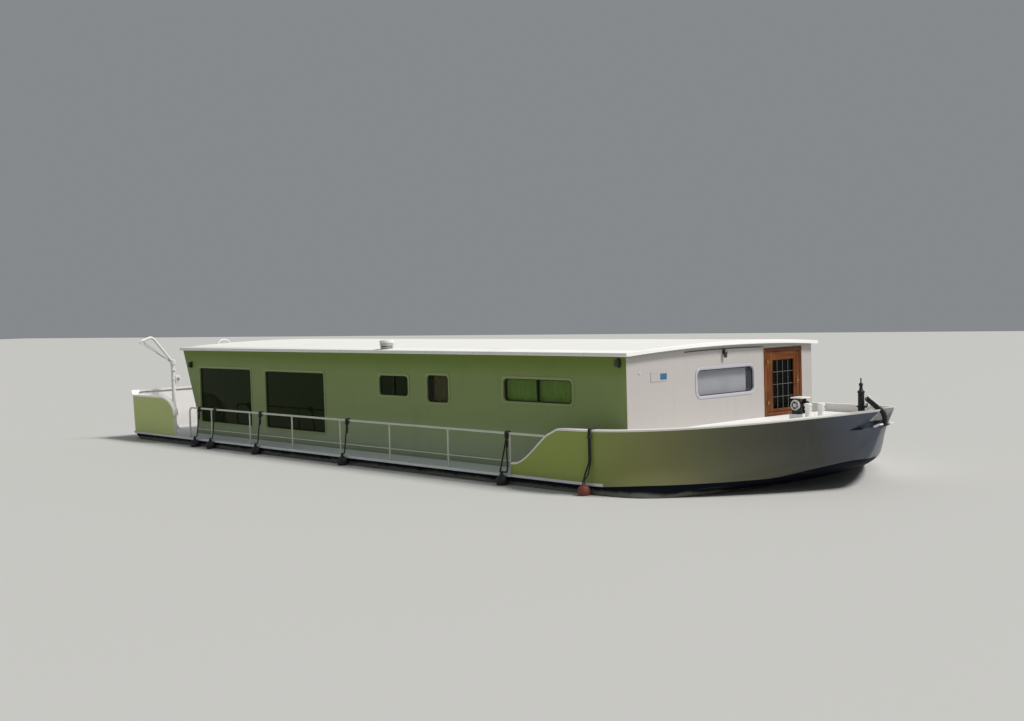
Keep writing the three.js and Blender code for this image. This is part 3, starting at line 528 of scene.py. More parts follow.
@dataclass(frozen=True)
class Moulded(Finish):
    """Rubber or plastic: moulded, scuffed and dusty."""

    colour: Colour
    roughness: float = 0.55
    scuff: Colour = (0.2, 0.19, 0.17)

    def build(self, bench: Bench) -> bpy.types.Material:
        """The plastic's nodes."""
        place = bench.place()
        skin = bench.noise(place, 240.0, 2.0)
        scuffs = bench.noise(bench.stretched(place, (1.0, 1.0, 5.0)), 14.0, 5.0, 0.7)
        colour = bench.mix(scuffs.rise(0.58, 0.8) * 0.3, self.colour, self.scuff)
        return bench.surface(Base_Color=colour, Roughness=self.roughness + scuffs * 0.15,
                             Normal=bench.bump(skin, 0.0004, 0.6))


@dataclass(frozen=True)
class Cloth(Finish):
    """Woven blind or curtain cloth."""

    colour: Colour
    shade: Colour

    def build(self, bench: Bench) -> bpy.types.Material:
        """The cloth's nodes: a plain weave and soft uneven fading."""
        place = bench.place()
        x, y, z = bench.axes(place)
        warp = ((x + y) * 2600.0).sine()
        weft = (z * 2600.0).sine()
        faded = bench.noise(place, 3.0, 3.0)
        colour = bench.mix(faded.rise(0.3, 0.8) * 0.6, self.colour, self.shade)
        return bench.surface(Base_Color=colour, Roughness=0.85,
                             Normal=bench.bump(warp * weft, 0.0002, 0.5), Sheen_Weight=0.2)


# Topsides: pale on the port side; on starboard the colour runs from olive green aft through near black to
# bluish at the stem, which is painted shade and painted reflection of grass, water and sky
TOPSIDE_SHADE_PAINT = Paint(
    "topside_gloss_painted_shade", (0.5, 0.5, 0.5), soil=(0.22, 0.22, 0.15), streaks=0.16, grime_top=0.2, roughness=0.30,
    port=(0.76, 0.76, 0.74), painted_shade_tones=((0.0, (0.32, 0.40, 0.08)), (0.3, (0.31, 0.38, 0.09)),
                                    (0.5, (0.26, 0.27, 0.10)), (0.72, (0.13, 0.13, 0.085)),
                                    (0.87, (0.075, 0.075, 0.07)), (0.95, (0.10, 0.115, 0.155))))
# Outside of the stern bulwark: olive green on starboard is painted shade and painted green reflection; the
# port side keeps pale paint
STERN_SHADE_PAINT = Paint("stern_gloss_painted_shade", (0.50, 0.58, 0.20), soil=(0.34, 0.38, 0.16), streaks=0.16,
                    port=(0.76, 0.76, 0.74), port_edge=(-2.76, -2.5), roughness=0.30)
BULWARK_WHITE = Paint("bulwark_white", (0.90, 0.88, 0.86), streaks=0.10)
CAP_WHITE = Paint("cap_white", (0.88, 0.87, 0.83), streaks=0.08, waves=0.001)
# Starboard cabin wall: the wall paint copied in olive green, darker and greener towards the top, which is
# painted shade and painted reflection of green surroundings
SHADED_WALL = Paint(
    "shaded_wall", (0.30, 0.38, 0.14), soil=(0.17, 0.21, 0.08), streaks=0.2, grime_top=0.25,
    painted_shade_tones=((0.0, (0.36, 0.42, 0.29)), (0.4, (0.27, 0.345, 0.14)), (0.85, (0.235, 0.315, 0.10)),
           (1.0, (0.16, 0.235, 0.035))),
    tone_axis=2, tone_ends=(0.2, 1.8))
SIDE_WALL = Paint("side_wall", (0.70, 0.71, 0.66), soil=(0.36, 0.37, 0.27), grime_top=0.3)
END_WALL = Paint("end_wall", (0.49, 0.465, 0.450), soil=(0.31, 0.30, 0.31), streaks=0.26)
# Starboard window frames: an olive-green copy of the pale frame paint, painted shade and painted green
# reflection like the starboard wall
SHADED_FRAME_PAINT = Paint("frame_paint", (0.30, 0.37, 0.15), streaks=0.2, waves=0.0005)
PORT_FRAME_PAINT = Paint("port_frame_paint", (0.66, 0.67, 0.60), waves=0.0005)
ROOF_COAT = RoofPaint("roof_coat", (0.90, 0.90, 0.86))
SIDE_DECK_PAINT = DeckPaint("side_deck_grit", (0.76, 0.79, 0.80), (0.84, 0.85, 0.84))
FOREDECK_PAINT = DeckPaint("foredeck_grit", (0.90, 0.89, 0.86), (0.80, 0.79, 0.76))
NAVY = BottomPaint("navy_bottom", (0.004, 0.006, 0.011))
WOOD_UP = Varnish("varnish_upright", (0, 0, 1))
WOOD_ACROSS = Varnish("varnish_across", (0, 1, 0))
STAIR_WOOD = Varnish("stair_wood", (0, 1, 0), (0.36, 0.2, 0.09), (0.18, 0.09, 0.04), 0.2)
FLOOR_PLANKS = Planks("floor_planks")
# Nearly opaque dark green glass: painted shade of the unlit cabin and painted green reflection
SHADED_GLASS = Pane("shaded_glass", (0.012, 0.022, 0.003), 0.03)
CLEAR_GLASS = Pane("clear_glass", (0.05, 0.06, 0.035), 0.72)
FRONT_GLASS = Pane("front_glass", (0.18, 0.19, 0.215), 0.84)
# Nearly opaque black door glass: painted shade of the unlit cabin behind it
SHADED_DOOR_GLASS = Pane("door_glass", (0.001, 0.001, 0.001), 0.01)
LAMP_GLASS = Pane("lamp_glass", (0.12, 0.12, 0.09), 0.2)
FRONT_FRAME = Metal("front_frame", (0.56, 0.55, 0.62), 0.42, 0.2, 0.0, 0.0003)
GASKET = Moulded("gasket_rubber", (0.012, 0.012, 0.012), 0.6)
ALLOY = Metal("window_alloy", (0.42, 0.44, 0.40), 0.38, 0.8, 0.02, 0.0003)
WHITE_METAL = Metal("white_metal", (0.88, 0.88, 0.85), 0.36, 0.0, 0.16, 0.0004)
BLACK_IRON = Metal("black_iron", (0.022, 0.023, 0.025), 0.5, 0.35, 0.35)
GREY_STEEL = Metal("rail_steel", (0.68, 0.70, 0.58), 0.42, 0.05, 0.12, 0.0005)
GALVANISED = Metal("galvanised", (0.62, 0.63, 0.62), 0.42, 0.75, 0.1)
BRONZE = Metal("bronze", (0.42, 0.24, 0.08), 0.32, 0.95, 0.05)
LEAD = Metal("lead_came", (0.24, 0.25, 0.24), 0.45, 0.6, 0.0, 0.0002)
ROPE_BLACK = Yarn("black_rope", (0.012, 0.013, 0.010))
BALL_DARK = Moulded("dark_ball", (0.016, 0.016, 0.018), 0.5)
BALL_RED = Moulded("red_ball", (0.20, 0.055, 0.03), 0.55)
LAMP_BLACK = Moulded("lamp_black", (0.014, 0.014, 0.014), 0.4)
PLATE_WHITE = Moulded("plate_white", (0.46, 0.45, 0.45), 0.25)
PLATE_BLUE = Moulded("plate_blue", (0.03, 0.13, 0.28), 0.25)
BLIND_GREY = Cloth("blind_grey", (0.52, 0.53, 0.57), (0.42, 0.43, 0.46))
BLIND_GREEN = Cloth("blind_green", (0.42, 0.76, 0.12), (0.36, 0.66, 0.10))
BLIND_BROWN = Cloth("blind_brown", (0.20, 0.17, 0.06), (0.12, 0.11, 0.04))


# Meshes


def smooth_route(points: Sequence[Sequence[float]], step: float) -> list[Vector]:
    """A smooth route through some points.

    Args:
        points: What it passes through.
        step: Greatest distance between two of its points.

    Returns:
        The route's points.
    """
    given = [Vector(p) for p in points]
    ends = [2 * given[0] - given[1], *given, 2 * given[-1] - given[-2]]
    route = [given[0]]
    for a, b, c, d in zip(ends, ends[1:], ends[2:], ends[3:]):
        count = max(1, math.ceil((c - b).length / step))
        for i in range(1, count + 1):
            t = i / count
            route.append(0.5 * (2 * b + (c - a) * t + (2 * a - 5 * b + 4 * c - d) * t * t
                                + (3 * b - a - 3 * c + d) * t ** 3))
    return route


def bent_route(points: Sequence[Sequence[float]], radius: float, steps: int = 6) -> list[Vector]:
    """Straight runs joined by round bends.

    Args:
        points: The corners.
        radius: How far each bend reaches along its runs.
        steps: Points in a bend.

    Returns:
        The route's points.
    """
    given = [Vector(p) for p in points]
    route = [given[0]]
    for before, corner, after in zip(given, given[1:], given[2:]):
        reach = min(radius, (corner - before).length / 2, (after - corner).length / 2)
        start = corner + (before - corner).normalized() * reach
        end = corner + (after - corner).normalized() * reach
        for i in range(steps + 1):
            t = i / steps
            route.append(start * (1 - t) ** 2 + corner * 2 * t * (1 - t) + end * t * t)
    return [*route, given[-1]]


def frames_along(route: Sequence[Vector]) -> list[tuple[Vector, Vector]]:
    """Two directions across a route at each of its points, which don't twist."""
    frames = []
    side = None
    for i in range(len(route)):
        ahead = route[min(i + 1, len(route) - 1)] - route[max(i - 1, 0)]
        ahead.normalize()
        if side is None:
            guide = Z_AXIS if abs(ahead.z) < 0.9 else X_AXIS
            side = ahead.cross(guide).normalized()
        side = (side - ahead * side.dot(ahead)).normalized()
        frames.append((side, ahead.cross(side)))
    return frames


def rounded(u0: float, v0: float, u1: float, v1: float, radius: float, steps: int = 8) -> list[Flat]:
    """A rectangle's outline with round corners."""
    corners = ((u1 - radius, v0 + radius, -90), (u1 - radius, v1 - radius, 0),
               (u0 + radius, v1 - radius, 90), (u0 + radius, v0 + radius, 180))
    outline = []
    for u, v, start in corners:
        for i in range(steps + 1):
            angle = math.radians(start + 90 * i / steps)
            outline.append((u + radius * math.cos(angle), v + radius * math.sin(angle)))
    return outline


def spread(low: float, high: float, count: int) -> list[float]:
    """Evenly spaced values from low to high, both included."""
    return [low + (high - low) * i / count for i in range(count + 1)]


def oblong(u0: float, v0: float, u1: float, v1: float) -> list[Flat]:
    """The four corners of a rectangle, in order."""
    return [(u0, v0), (u1, v0), (u1, v1), (u0, v1)]


def compass(count: int, start: float = 0.0, upright: bool = True) -> list[Vector]:
    """Unit directions evenly round the Z axis, or round the Y axis if not upright."""
    turns = [(math.cos(a), math.sin(a)) for a in (start + 2 * math.pi * i / count for i in range(count))]
    return [Vector((c, s, 0) if upright else (c, 0, s)) for c, s in turns]


def linked(name: str, data: bpy.types.ID) -> bpy.types.Object:
    """A new object with that data, in the scene."""
    made = bpy.data.objects.new(name, data)
    bpy.context.scene.collection.objects.link(made)
    return made


class Mould:
    """Gathers closed shapes into one mesh, each shape with its own finish."""

    def __init__(self) -> None:
        """Starts empty."""
        self.mesh = bmesh.new()
        self.finishes: list[bpy.types.Material] = []

    def number_of(self, finish: Finish) -> int:
        """The material number of a finish in this mesh."""
        material = finish.get()
        if material not in self.finishes:
            self.finishes.append(material)
        return self.finishes.index(material)

    def shell(self, points: Sequence[Vector], faces: Sequence[Sequence[int]], finish: Finish,
              smooth: bool = True) -> None:
        """Adds a closed shape.

        Args:
            points: Its corners.
            faces: Its faces, as numbers of those corners.
            finish: What it is finished with.
            smooth: Whether its faces are shaded as one curve.
        """
        number = self.number_of(finish)
        made = [self.mesh.verts.new(p) for p in points]
        for face in faces:
            new = self.mesh.faces.new([made[i] for i in face])
            new.material_index = number
            new.smooth = smooth

    def rings(self, rings: Sequence[Sequence[Vector]], finish: Finish, loop: bool = False,
              smooth: bool = True) -> None:
        """Adds a skin through rings of points, with ends unless the rings form a loop."""
        count = len(rings[0])
        total = len(rings)
        faces = []
        for r in range(total if loop else total - 1):
            ahead = (r + 1) % total
            for i in range(count):
                n = (i + 1) % count
                faces.append((r * count + i, r * count + n, ahead * count + n, ahead * count + i))
        if not loop:
            faces.append(tuple(reversed(range(count))))
            faces.append(tuple(range((total - 1) * count, total * count)))
        self.shell([p for ring in rings for p in ring], faces, finish, smooth)

    def block(self, low: Sequence[float], high: Sequence[float], finish: Finish, edge: float) -> None:
        """Adds a box between two corners, with its edges rounded by edge."""
        size = Vector(high) - Vector(low)
        matrix = Matrix.Translation((Vector(low) + Vector(high)) / 2) @ Matrix.Diagonal((*size, 1))
        made = bmesh.ops.create_cube(self.mesh, size=1.0, matrix=matrix)
        faces = list(dict.fromkeys(f for v in made["verts"] for f in v.link_faces))
        edges = list(dict.fromkeys(e for f in faces for e in f.edges))
        number = self.number_of(finish)
        for face in faces:
            face.material_index = number
        done = bmesh.ops.bevel(self.mesh, geom=edges, offset=edge, segments=2, affect="EDGES",
                               profile=0.6)
        for face in done["faces"]:
            face.material_index = number
            face.smooth = True

    def tube(self, route: Sequence[Vector], radius: float | Sequence[float], finish: Finish,
             sides: int = 14) -> None:
        """Adds a round tube along a route.

        Args:
            route: Its centreline.
            radius: Its radius, or one for each point of the route.
            finish: What it is finished with.
            sides: Points round it.
        """
        route = [Vector(p) for p in route]
        radii = [radius] * len(route) if isinstance(radius, (int, float)) else radius
        rings = []
        for here, (side, up), size in zip(route, frames_along(route), radii):
            rings.append([here + size * (math.cos(a) * side + math.sin(a) * up)
                          for a in (2 * math.pi * i / sides for i in range(sides))])
        self.rings(rings, finish)

    def turned(self, profile: Sequence[Flat], finish: Finish, at: Sequence[float],
               axis: Vector = Z_AXIS, sides: int = 32, smooth: bool = True) -> None:
        """Adds a turned shape.

        Args:
            profile: [radius, height] pairs. Radius 0 only at the two ends.
            finish: What it is finished with.
            at: Where height 0 lies on the axis.
            axis: Which way the heights run.
            sides: Points round it.
            smooth: Whether its faces are shaded as one curve.
        """
        turn = axis.to_track_quat("Z", "Y").to_matrix()
        centre = Vector(at)
        points: list[Vector] = []
        rows = []
        for radius, height in profile:
            around = 1 if radius < 1e-6 else sides
            rows.append((len(points), around))
            for i in range(around):
                angle = 2 * math.pi * i / sides
                local = Vector((radius * math.cos(angle), radius * math.sin(angle), height))
                points.append(centre + turn @ local)
        faces = []
        for (a, na), (b, nb) in zip(rows, rows[1:]):
            for i in range(sides):
                n = (i + 1) % sides
                corners = [a + i % na, a + n % na, b + n % nb, b + i % nb]
                faces.append(tuple(dict.fromkeys(corners)))
        for start, around in (rows[0], rows[-1]):
            if around > 1:
                faces.append(tuple(range(start, start + around)))
        self.shell(points, faces, finish, smooth)

    def hoop(self, centre: Sequence[float], radius: float, wire: float, axis: Vector, finish: Finish,
             sides: int = 28, around: int = 10) -> None:
        """Adds a ring of round wire about an axis."""
        turn = axis.to_track_quat("Z", "Y").to_matrix()
        rings = []
        for out in compass(sides):
            rings.append([Vector(centre) + turn @ (out * (radius + wire * math.cos(b))
                                                   + Z_AXIS * wire * math.sin(b))
                          for b in (2 * math.pi * k / around for k in range(around))])
        self.rings(rings, finish, True)

    def ball(self, centre: Sequence[float], radius: float, finish: Finish, sides: int = 24) -> None:
        """Adds a ball."""
        half = sides // 2
        profile = [(radius * math.sin(math.pi * i / half), -radius * math.cos(math.pi * i / half))
                   for i in range(half + 1)]
        profile[0] = (0.0, -radius)
        profile[-1] = (0.0, radius)
        self.turned(profile, finish, centre, Z_AXIS, sides)

    def sheet(self, outline: Sequence[Flat], place: Place, w0: float, w1: float,
              finish: Finish) -> None:
        """Adds a flat outline pushed from w0 to w1 off its plane."""
        rings = [[place(u, v, w) for u, v in outline] for w in (w0, w1)]
        self.rings(rings, finish, smooth=False)

    def border(self, outline: Callable[[float], list[Flat]], place: Place, section: Sequence[Flat],
               finish: Finish) -> None:
        """Adds a frame round an opening.

        Args:
            outline: The outline at a given inset.
            place: The plane that it lies on.
            section: [inset, off the plane] pairs round the frame's section.
            finish: What it is finished with.
        """
        rings = [[place(u, v, w) for u, v in outline(inset)] for inset, w in section]
        self.rings(rings, finish, True)

    def twist(self, route: Sequence[Vector], radius: float, finish: Finish, lay: float = 0.07) -> None:
        """Adds a rope of three strands laid round a route."""
        frames = frames_along(route)
        gone = 0.0
        offsets = []
        for i, here in enumerate(route):
            if i:
                gone += (here - route[i - 1]).length
            offsets.append(2 * math.pi * gone / lay)
        for strand in range(3):
            start = 2 * math.pi * strand / 3
            line = [here + radius * 0.5 * (math.cos(a + start) * side + math.sin(a + start) * up)
                    for here, (side, up), a in zip(route, frames, offsets)]
            self.tube(line, radius * 0.54, finish, 6)

    def piece(self, name: str, slot: Slot | None, body: Body = Body.BOAT,
              stands_for: Sequence[str] = (), crisp: float = 32.0) -> bpy.types.Object:
        """Makes the mesh a piece of the boat.

        Args:
            name: The piece's name.
            slot: The record's slot; not used.
            body: What it rides on.
            stands_for: The CAD nodes that it is shown in place of.
            crisp: Angle in degrees past which an edge is shaded as an edge.

        Returns:
            The finished object.
        """
        bmesh.ops.recalc_face_normals(self.mesh, faces=self.mesh.faces)
        data = bpy.data.meshes.new(name)
        self.mesh.to_mesh(data)
        self.mesh.free()
        for material in self.finishes:
            data.materials.append(material)
        return settle(linked(name, data), slot, body, stands_for, crisp)


def settle(made: bpy.types.Object, slot: Slot | None, body: Body, stands_for: Sequence[str],
           crisp: float) -> bpy.types.Object:
    """Puts a finished object on its body, as Mould.piece says."""
    if crisp:
        made.data.set_sharp_from_angle(angle=math.radians(crisp))
    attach(made, body.value)
    if stands_for:
        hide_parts(*stands_for)
    LOG.info("%s: %d faces on %s", made.name, len(made.data.polygons), body.value)
    return made


def baked(source: bpy.types.Object, name: str) -> bpy.types.Object:
    """A plain mesh of an object as its modifiers leave it. The source is deleted."""
    graph = bpy.context.evaluated_depsgraph_get()
    data = bpy.data.meshes.new_from_object(source.evaluated_get(graph), depsgraph=graph)
    data.name = name
    bpy.data.objects.remove(source)
    return linked(name, data)


# Repeated small things, made by Geometry Nodes


class NodeScene:
    """A Geometry Nodes tree and the ways to add to it."""

    def __init__(self, name: str, sizes: dict[str, float]) -> None:
        """Makes a tree with a geometry input and named sizes."""
        self.tree = bpy.data.node_groups.new(name, "GeometryNodeTree")
        self.tree.interface.new_socket("Geometry", in_out="INPUT", socket_type="NodeSocketGeometry")
        for size in sizes:
            self.tree.interface.new_socket(size, in_out="INPUT", socket_type="NodeSocketFloat")
        self.tree.interface.new_socket("Geometry", in_out="OUTPUT", socket_type="NodeSocketGeometry")
        self.sizes = sizes
        self.given = self.tree.nodes.new("NodeGroupInput")

    def add(self, kind: str, settings: dict | None = None, inputs: dict | None = None) -> bpy.types.Node:
        """Adds a node with its settings, and links or values for its sockets."""
        made = self.tree.nodes.new(kind)
        for key, value in (settings or {}).items():
            setattr(made, key, value)
        for key, value in (inputs or {}).items():
            if isinstance(value, bpy.types.NodeSocket):
                self.tree.links.new(value, made.inputs[key])
            else:
                made.inputs[key].default_value = value
        return made

    def apply(self, source: bpy.types.Object, shape: bpy.types.NodeSocket, finish: Finish,
              name: str) -> bpy.types.Object:
        """Ends the tree, runs it on an object and bakes the result.

        Args:
            source: The object whose geometry goes in. It is deleted.
            shape: The socket with the instances.
            finish: The finish of what comes out.
            name: Name of the result.

        Returns:
            A plain mesh object.
        """
        real = self.add("GeometryNodeRealizeInstances", inputs={0: shape})
        dressed = self.add("GeometryNodeSetMaterial", inputs={0: real.outputs[0], "Material": finish.get()})
        output = self.tree.nodes.new("NodeGroupOutput")
        self.tree.links.new(dressed.outputs[0], output.inputs[0])
        modifier = source.modifiers.new("repeat", "NODES")
        modifier.node_group = self.tree
        for socket in self.tree.interface.items_tree:
            if socket.in_out == "INPUT" and socket.name in self.sizes:
                modifier[socket.identifier] = float(self.sizes[socket.name])
        made = baked(source, name)
        if not made.data.materials:
            made.data.materials.append(finish.get())
        return made


def cloud(points: Sequence[Vector], normals: Sequence[Vector]) -> bpy.types.Object:
    """A mesh of loose points, each with the direction that it faces."""
    data = bpy.data.meshes.new("points")
    data.from_pydata([tuple(p) for p in points], [], [])
    facing = data.attributes.new("facing", "FLOAT_VECTOR", "POINT")
    facing.data.foreach_set("vector", [c for n in normals for c in n])
    return linked("points", data)


@dataclass
class Studs:
    """Domed heads of screws or bolts, one at each of some points."""

    radius: float
    height: float
    finish: Finish
    sides: int = 12

    def build(self, name: str, points: Sequence[Vector], normals: Sequence[Vector], slot: Slot,
              body: Body = Body.BOAT) -> None:
        """Makes the heads.

        Args:
            name: Name of the piece.
            points: Where the heads sit.
            normals: Which way they face.
            slot: The record's slot; not used.
            body: What they ride on.
        """
        scene = NodeScene(f"{name}_tree", {"Radius": self.radius, "Height": self.height})
        facing = scene.add("GeometryNodeInputNamedAttribute", {"data_type": "FLOAT_VECTOR"},
                           {"Name": "facing"})
        turn = scene.add("FunctionNodeAlignRotationToVector", {"axis": "Z"},
                         {"Vector": facing.outputs[0]})
        head = scene.add("GeometryNodeMeshUVSphere", inputs={
            "Segments": self.sides, "Rings": 6, "Radius": scene.given.outputs["Radius"]})
        flat = scene.add("ShaderNodeMath", {"operation": "DIVIDE"}, {
            0: scene.given.outputs["Height"], 1: scene.given.outputs["Radius"]})
        scale = scene.add("ShaderNodeCombineXYZ", inputs={0: 1.0, 1: 1.0, 2: flat.outputs[0]})
        placed = scene.add("GeometryNodeInstanceOnPoints", inputs={
            "Points": scene.given.outputs["Geometry"], "Instance": head.outputs["Mesh"],
            "Rotation": turn.outputs[0], "Scale": scale.outputs[0]})
        made = scene.apply(cloud(points, normals), placed.outputs[0], self.finish, name)
        made.data.shade_smooth()
        settle(made, slot, body, (), 0)


@dataclass
class ChainLinks:
    """Oval links along a route, each turned a quarter from the last."""

    wire: float
    half_width: float
    half_length: float
    finish: Finish

    def build(self, name: str, route: Sequence[Vector], slot: Slot, body: Body,
              stands_for: Sequence[str] = ()) -> None:
        """Makes the chain.

        Args:
            name: Name of the piece.
            route: What the links follow.
            slot: The record's slot; not used.
            body: What it rides on.
            stands_for: The CAD nodes that it is shown in place of.
        """
        pitch = 2 * (self.half_length - self.wire)
        scene = NodeScene(f"{name}_tree", {"Pitch": pitch, "Wire": self.wire})
        spots = scene.add("GeometryNodeResampleCurve", {"mode": "LENGTH"}, {
            "Curve": scene.given.outputs["Geometry"], "Length": scene.given.outputs["Pitch"]})
        loop = scene.add("GeometryNodeCurvePrimitiveQuadrilateral", {"mode": "RECTANGLE"}, {
            "Width": 2 * (self.half_width - self.wire), "Height": 2 * (self.half_length - self.wire)})
        soft = scene.add("GeometryNodeFilletCurve", {"mode": "POLY"}, {
            "Curve": loop.outputs[0], "Count": 6, "Radius": self.half_width - self.wire,
            "Limit Radius": True})
        section = scene.add("GeometryNodeCurvePrimitiveCircle", inputs={
            "Resolution": 8, "Radius": scene.given.outputs["Wire"]})
        link = scene.add("GeometryNodeCurveToMesh", inputs={
            "Curve": soft.outputs[0], "Profile Curve": section.outputs[0]})
        tangent = scene.add("GeometryNodeInputTangent")
        along = scene.add("FunctionNodeAlignRotationToVector", {"axis": "Y"}, {
            "Vector": tangent.outputs[0]})
        index = scene.add("GeometryNodeInputIndex")
        odd = scene.add("ShaderNodeMath", {"operation": "MODULO"}, {0: index.outputs[0], 1: 2.0})
        angle = scene.add("ShaderNodeMath", {"operation": "MULTIPLY"}, {
            0: odd.outputs[0], 1: math.pi / 2})
        quarter = scene.add("FunctionNodeAxisAngleToRotation", inputs={
            "Axis": (0.0, 1.0, 0.0), "Angle": angle.outputs[0]})
        turn = scene.add("FunctionNodeRotateRotation", {"rotation_space": "LOCAL"}, {
            0: along.outputs[0], 1: quarter.outputs[0]})
        placed = scene.add("GeometryNodeInstanceOnPoints", inputs={
            "Points": spots.outputs[0], "Instance": link.outputs[0], "Rotation": turn.outputs[0]})
        data = bpy.data.curves.new("route", "CURVE")
        data.dimensions = "3D"
        line = data.splines.new("POLY")
        line.points.add(len(route) - 1)
        for point, here in zip(line.points, route):
            point.co = (*here, 1)
        made = scene.apply(linked("route", data), placed.outputs[0], self.finish, name)
        made.data.shade_smooth()
        settle(made, slot, body, stands_for, 0)


# The hull's form


@dataclass(frozen=True)
class Level:
    """The hull's plan at one height: its ends, half beam, how square the bow is, and its corners."""

    z: float
    stern: float
    half: float
    tip: float
    along: float
    across: float
    corner: float


HALF_BEAM = 2.775
STERN = -8.5
BOW_TIP = 8.46
CABIN_HALF = 2.2
CABIN_FORE = 5.63
CABIN_AFT = -6.62
WALL = 0.06
LEVELS = (
    Level(-0.70, -6.30, 2.35, 5.90, 6, 2, 0.30),
    Level(-0.60, -6.60, 2.60, 6.25, 6, 2, 0.30),
    Level(-0.35, -7.15, 2.74, 6.60, 6, 2, 0.26),
    Level(-0.15, -7.70, 2.765, 6.75, 6, 2, 0.22),
    Level(0.0, -8.25, 2.77, 6.95, 6, 2, 0.18),
    Level(0.17, -8.44, HALF_BEAM, 7.55, 3.2, 1.7, 0.16),
    Level(0.40, -8.455, HALF_BEAM, 8.07, 2.4, 1.3, 0.15),
    Level(0.80, -8.475, HALF_BEAM, 8.27, 2.25, 1.2, 0.14),
    Level(1.16, STERN, HALF_BEAM, BOW_TIP, 2.25, 1.2, 0.13),
)


@dataclass
class HullForm:
    """The hull's curved form, and the solids that are cut from it."""

    bow_start: float = 4.6
    bow_steps: int = 44
    corner_steps: int = 8
    between: int = 3
    step_x: float = 3.81
    step_z: float = 0.34
    ogee: Flat = (3.85, 4.86)
    cap_base: float = 0.895
    sheer_from: float = 5.15
    sheer_rise: float = 0.23

    def half_plan(self, level: Level, grow: float) -> list[Flat]:
        """One level's plan on the starboard side, from the stern's corner to the bow's tip."""
        half = level.half + grow
        stern = level.stern - grow
        reach = level.tip + grow - self.bow_start
        plan = []
        for angle in spread(0, math.pi / 2, self.corner_steps):
            plan.append((stern + level.corner * (1 - math.cos(angle)),
                         -half + level.corner * (1 - math.sin(angle))))
        for angle in spread(0, math.pi / 2, self.bow_steps):
            ahead = math.sin(angle) ** (2 / level.along)
            side = max(math.cos(angle), 0.0) ** (2 / level.across) if angle < 1.5707 else 0.0
            plan.append((self.bow_start + reach * ahead, -half * side))
        return plan

    def plan_at(self, z: float, grow: float) -> list[Flat]:
        """The plan at any height, curved smoothly between the levels."""
        zs = [level.z for level in LEVELS]
        plans = [self.half_plan(level, grow) for level in LEVELS]
        if z <= zs[0]:
            return plans[0]
        if z >= zs[-1]:
            return plans[-1]
        k = max(i for i in range(len(zs) - 1) if zs[i] <= z)
        step = zs[k + 1] - zs[k]
        t = (z - zs[k]) / step
        found = []
        for i in range(len(plans[0])):
            pair = []
            for axis in (0, 1):
                slopes = self._slopes(zs, [plan[i][axis] for plan in plans], k)
                a, b = plans[k][i][axis], plans[k + 1][i][axis]
                pair.append(a * (1 + 2 * t) * (1 - t) ** 2 + slopes[0] * step * t * (1 - t) ** 2
                            + b * t * t * (3 - 2 * t) + slopes[1] * step * t * t * (t - 1))
            found.append((pair[0], pair[1]))
        return found

    @staticmethod
    def _slopes(zs: Sequence[float], values: Sequence[float], k: int) -> Flat:
        """Slopes at both ends of a span, which never overshoot."""
        rates = [(values[i + 1] - values[i]) / (zs[i + 1] - zs[i]) for i in range(len(zs) - 1)]
        slopes = []
        for i in (k, k + 1):
            if i in (0, len(zs) - 1):
                slopes.append(rates[0] if i == 0 else rates[-1])
            elif rates[i - 1] * rates[i] <= 0:
                slopes.append(0.0)
            else:
                slopes.append(2 * rates[i - 1] * rates[i] / (rates[i - 1] + rates[i]))
        return slopes[0], slopes[1]

    def ring(self, z: float, grow: float) -> list[Vector]:
        """The whole plan at a height."""
        starboard = self.plan_at(z, grow)
        port = [(x, -y) for x, y in reversed(starboard[:-1])]
        return [Vector((x, y, z)) for x, y in (*starboard, *port)]

    def heights(self) -> list[float]:
        """Heights of the form's rings."""
        zs = [LEVELS[0].z]
        for low, high in zip(LEVELS, LEVELS[1:]):
            zs.extend(spread(low.z, high.z, self.between)[1:])
        return zs

    def solid(self, grow: float = 0.0) -> bpy.types.Object:
        """The hull as one closed solid, grown outwards all round."""
        return raw_solid([self.ring(z, grow) for z in self.heights()])

    def cap_z(self, x: float) -> float:
        """Top of the fore cap rail at a station."""
        t = min(max((x - self.ogee[0]) / (self.ogee[1] - self.ogee[0]), 0.0), 1.0)
        ogee = self.step_z + (self.cap_base - self.step_z) * t * t * (3 - 2 * t)
        s = max(0.0, (x - self.sheer_from) / (BOW_TIP - self.sheer_from))
        return ogee + self.sheer_rise * s * s


def raw_solid(rings: Sequence[Sequence[Vector]]) -> bpy.types.Object:
    """A closed solid through rings of points, for cutting and joining."""
    mould = Mould()
    mould.rings(rings, CAP_WHITE)
    bmesh.ops.recalc_face_normals(mould.mesh, faces=mould.mesh.faces)
    bmesh.ops.triangulate(mould.mesh, faces=[f for f in mould.mesh.faces if len(f.verts) > 4])
    data = bpy.data.meshes.new("solid")
    mould.mesh.to_mesh(data)
    mould.mesh.free()
    return linked("solid", data)


def side_prism(outline: Sequence[Flat], y0: float = -FAR, y1: float = FAR) -> bpy.types.Object:
    """An outline of [x, z] in profile, pushed across the boat."""
    return raw_solid([[Vector((x, y, z)) for x, z in outline] for y in (y0, y1)])


def block_solid(low: Sequence[float], high: Sequence[float]) -> bpy.types.Object:
    """A plain box for cutting."""
    corners = oblong(*low[:2], *high[:2])
    return raw_solid([[Vector((x, y, z)) for x, y in corners] for z in (low[2], high[2])])


def carved(base: bpy.types.Object, *steps: tuple[str, bpy.types.Object]) -> bpy.types.Object:
    """A solid after cuts and joins.

    Args:
        base: What is carved. It is deleted.
        steps: Pairs of an operation and the solid that it is done with, which is deleted.

    Returns:
        The carved solid.
    """
    for operation, tool in steps:
        modifier = base.modifiers.new("carve", "BOOLEAN")
        modifier.operation = operation
        modifier.solver = "MANIFOLD"
        modifier.object = tool
        base = baked(base, "solid")
        bpy.data.objects.remove(tool)
    return base


CUT, KEEP, JOIN = "DIFFERENCE", "INTERSECT", "UNION"


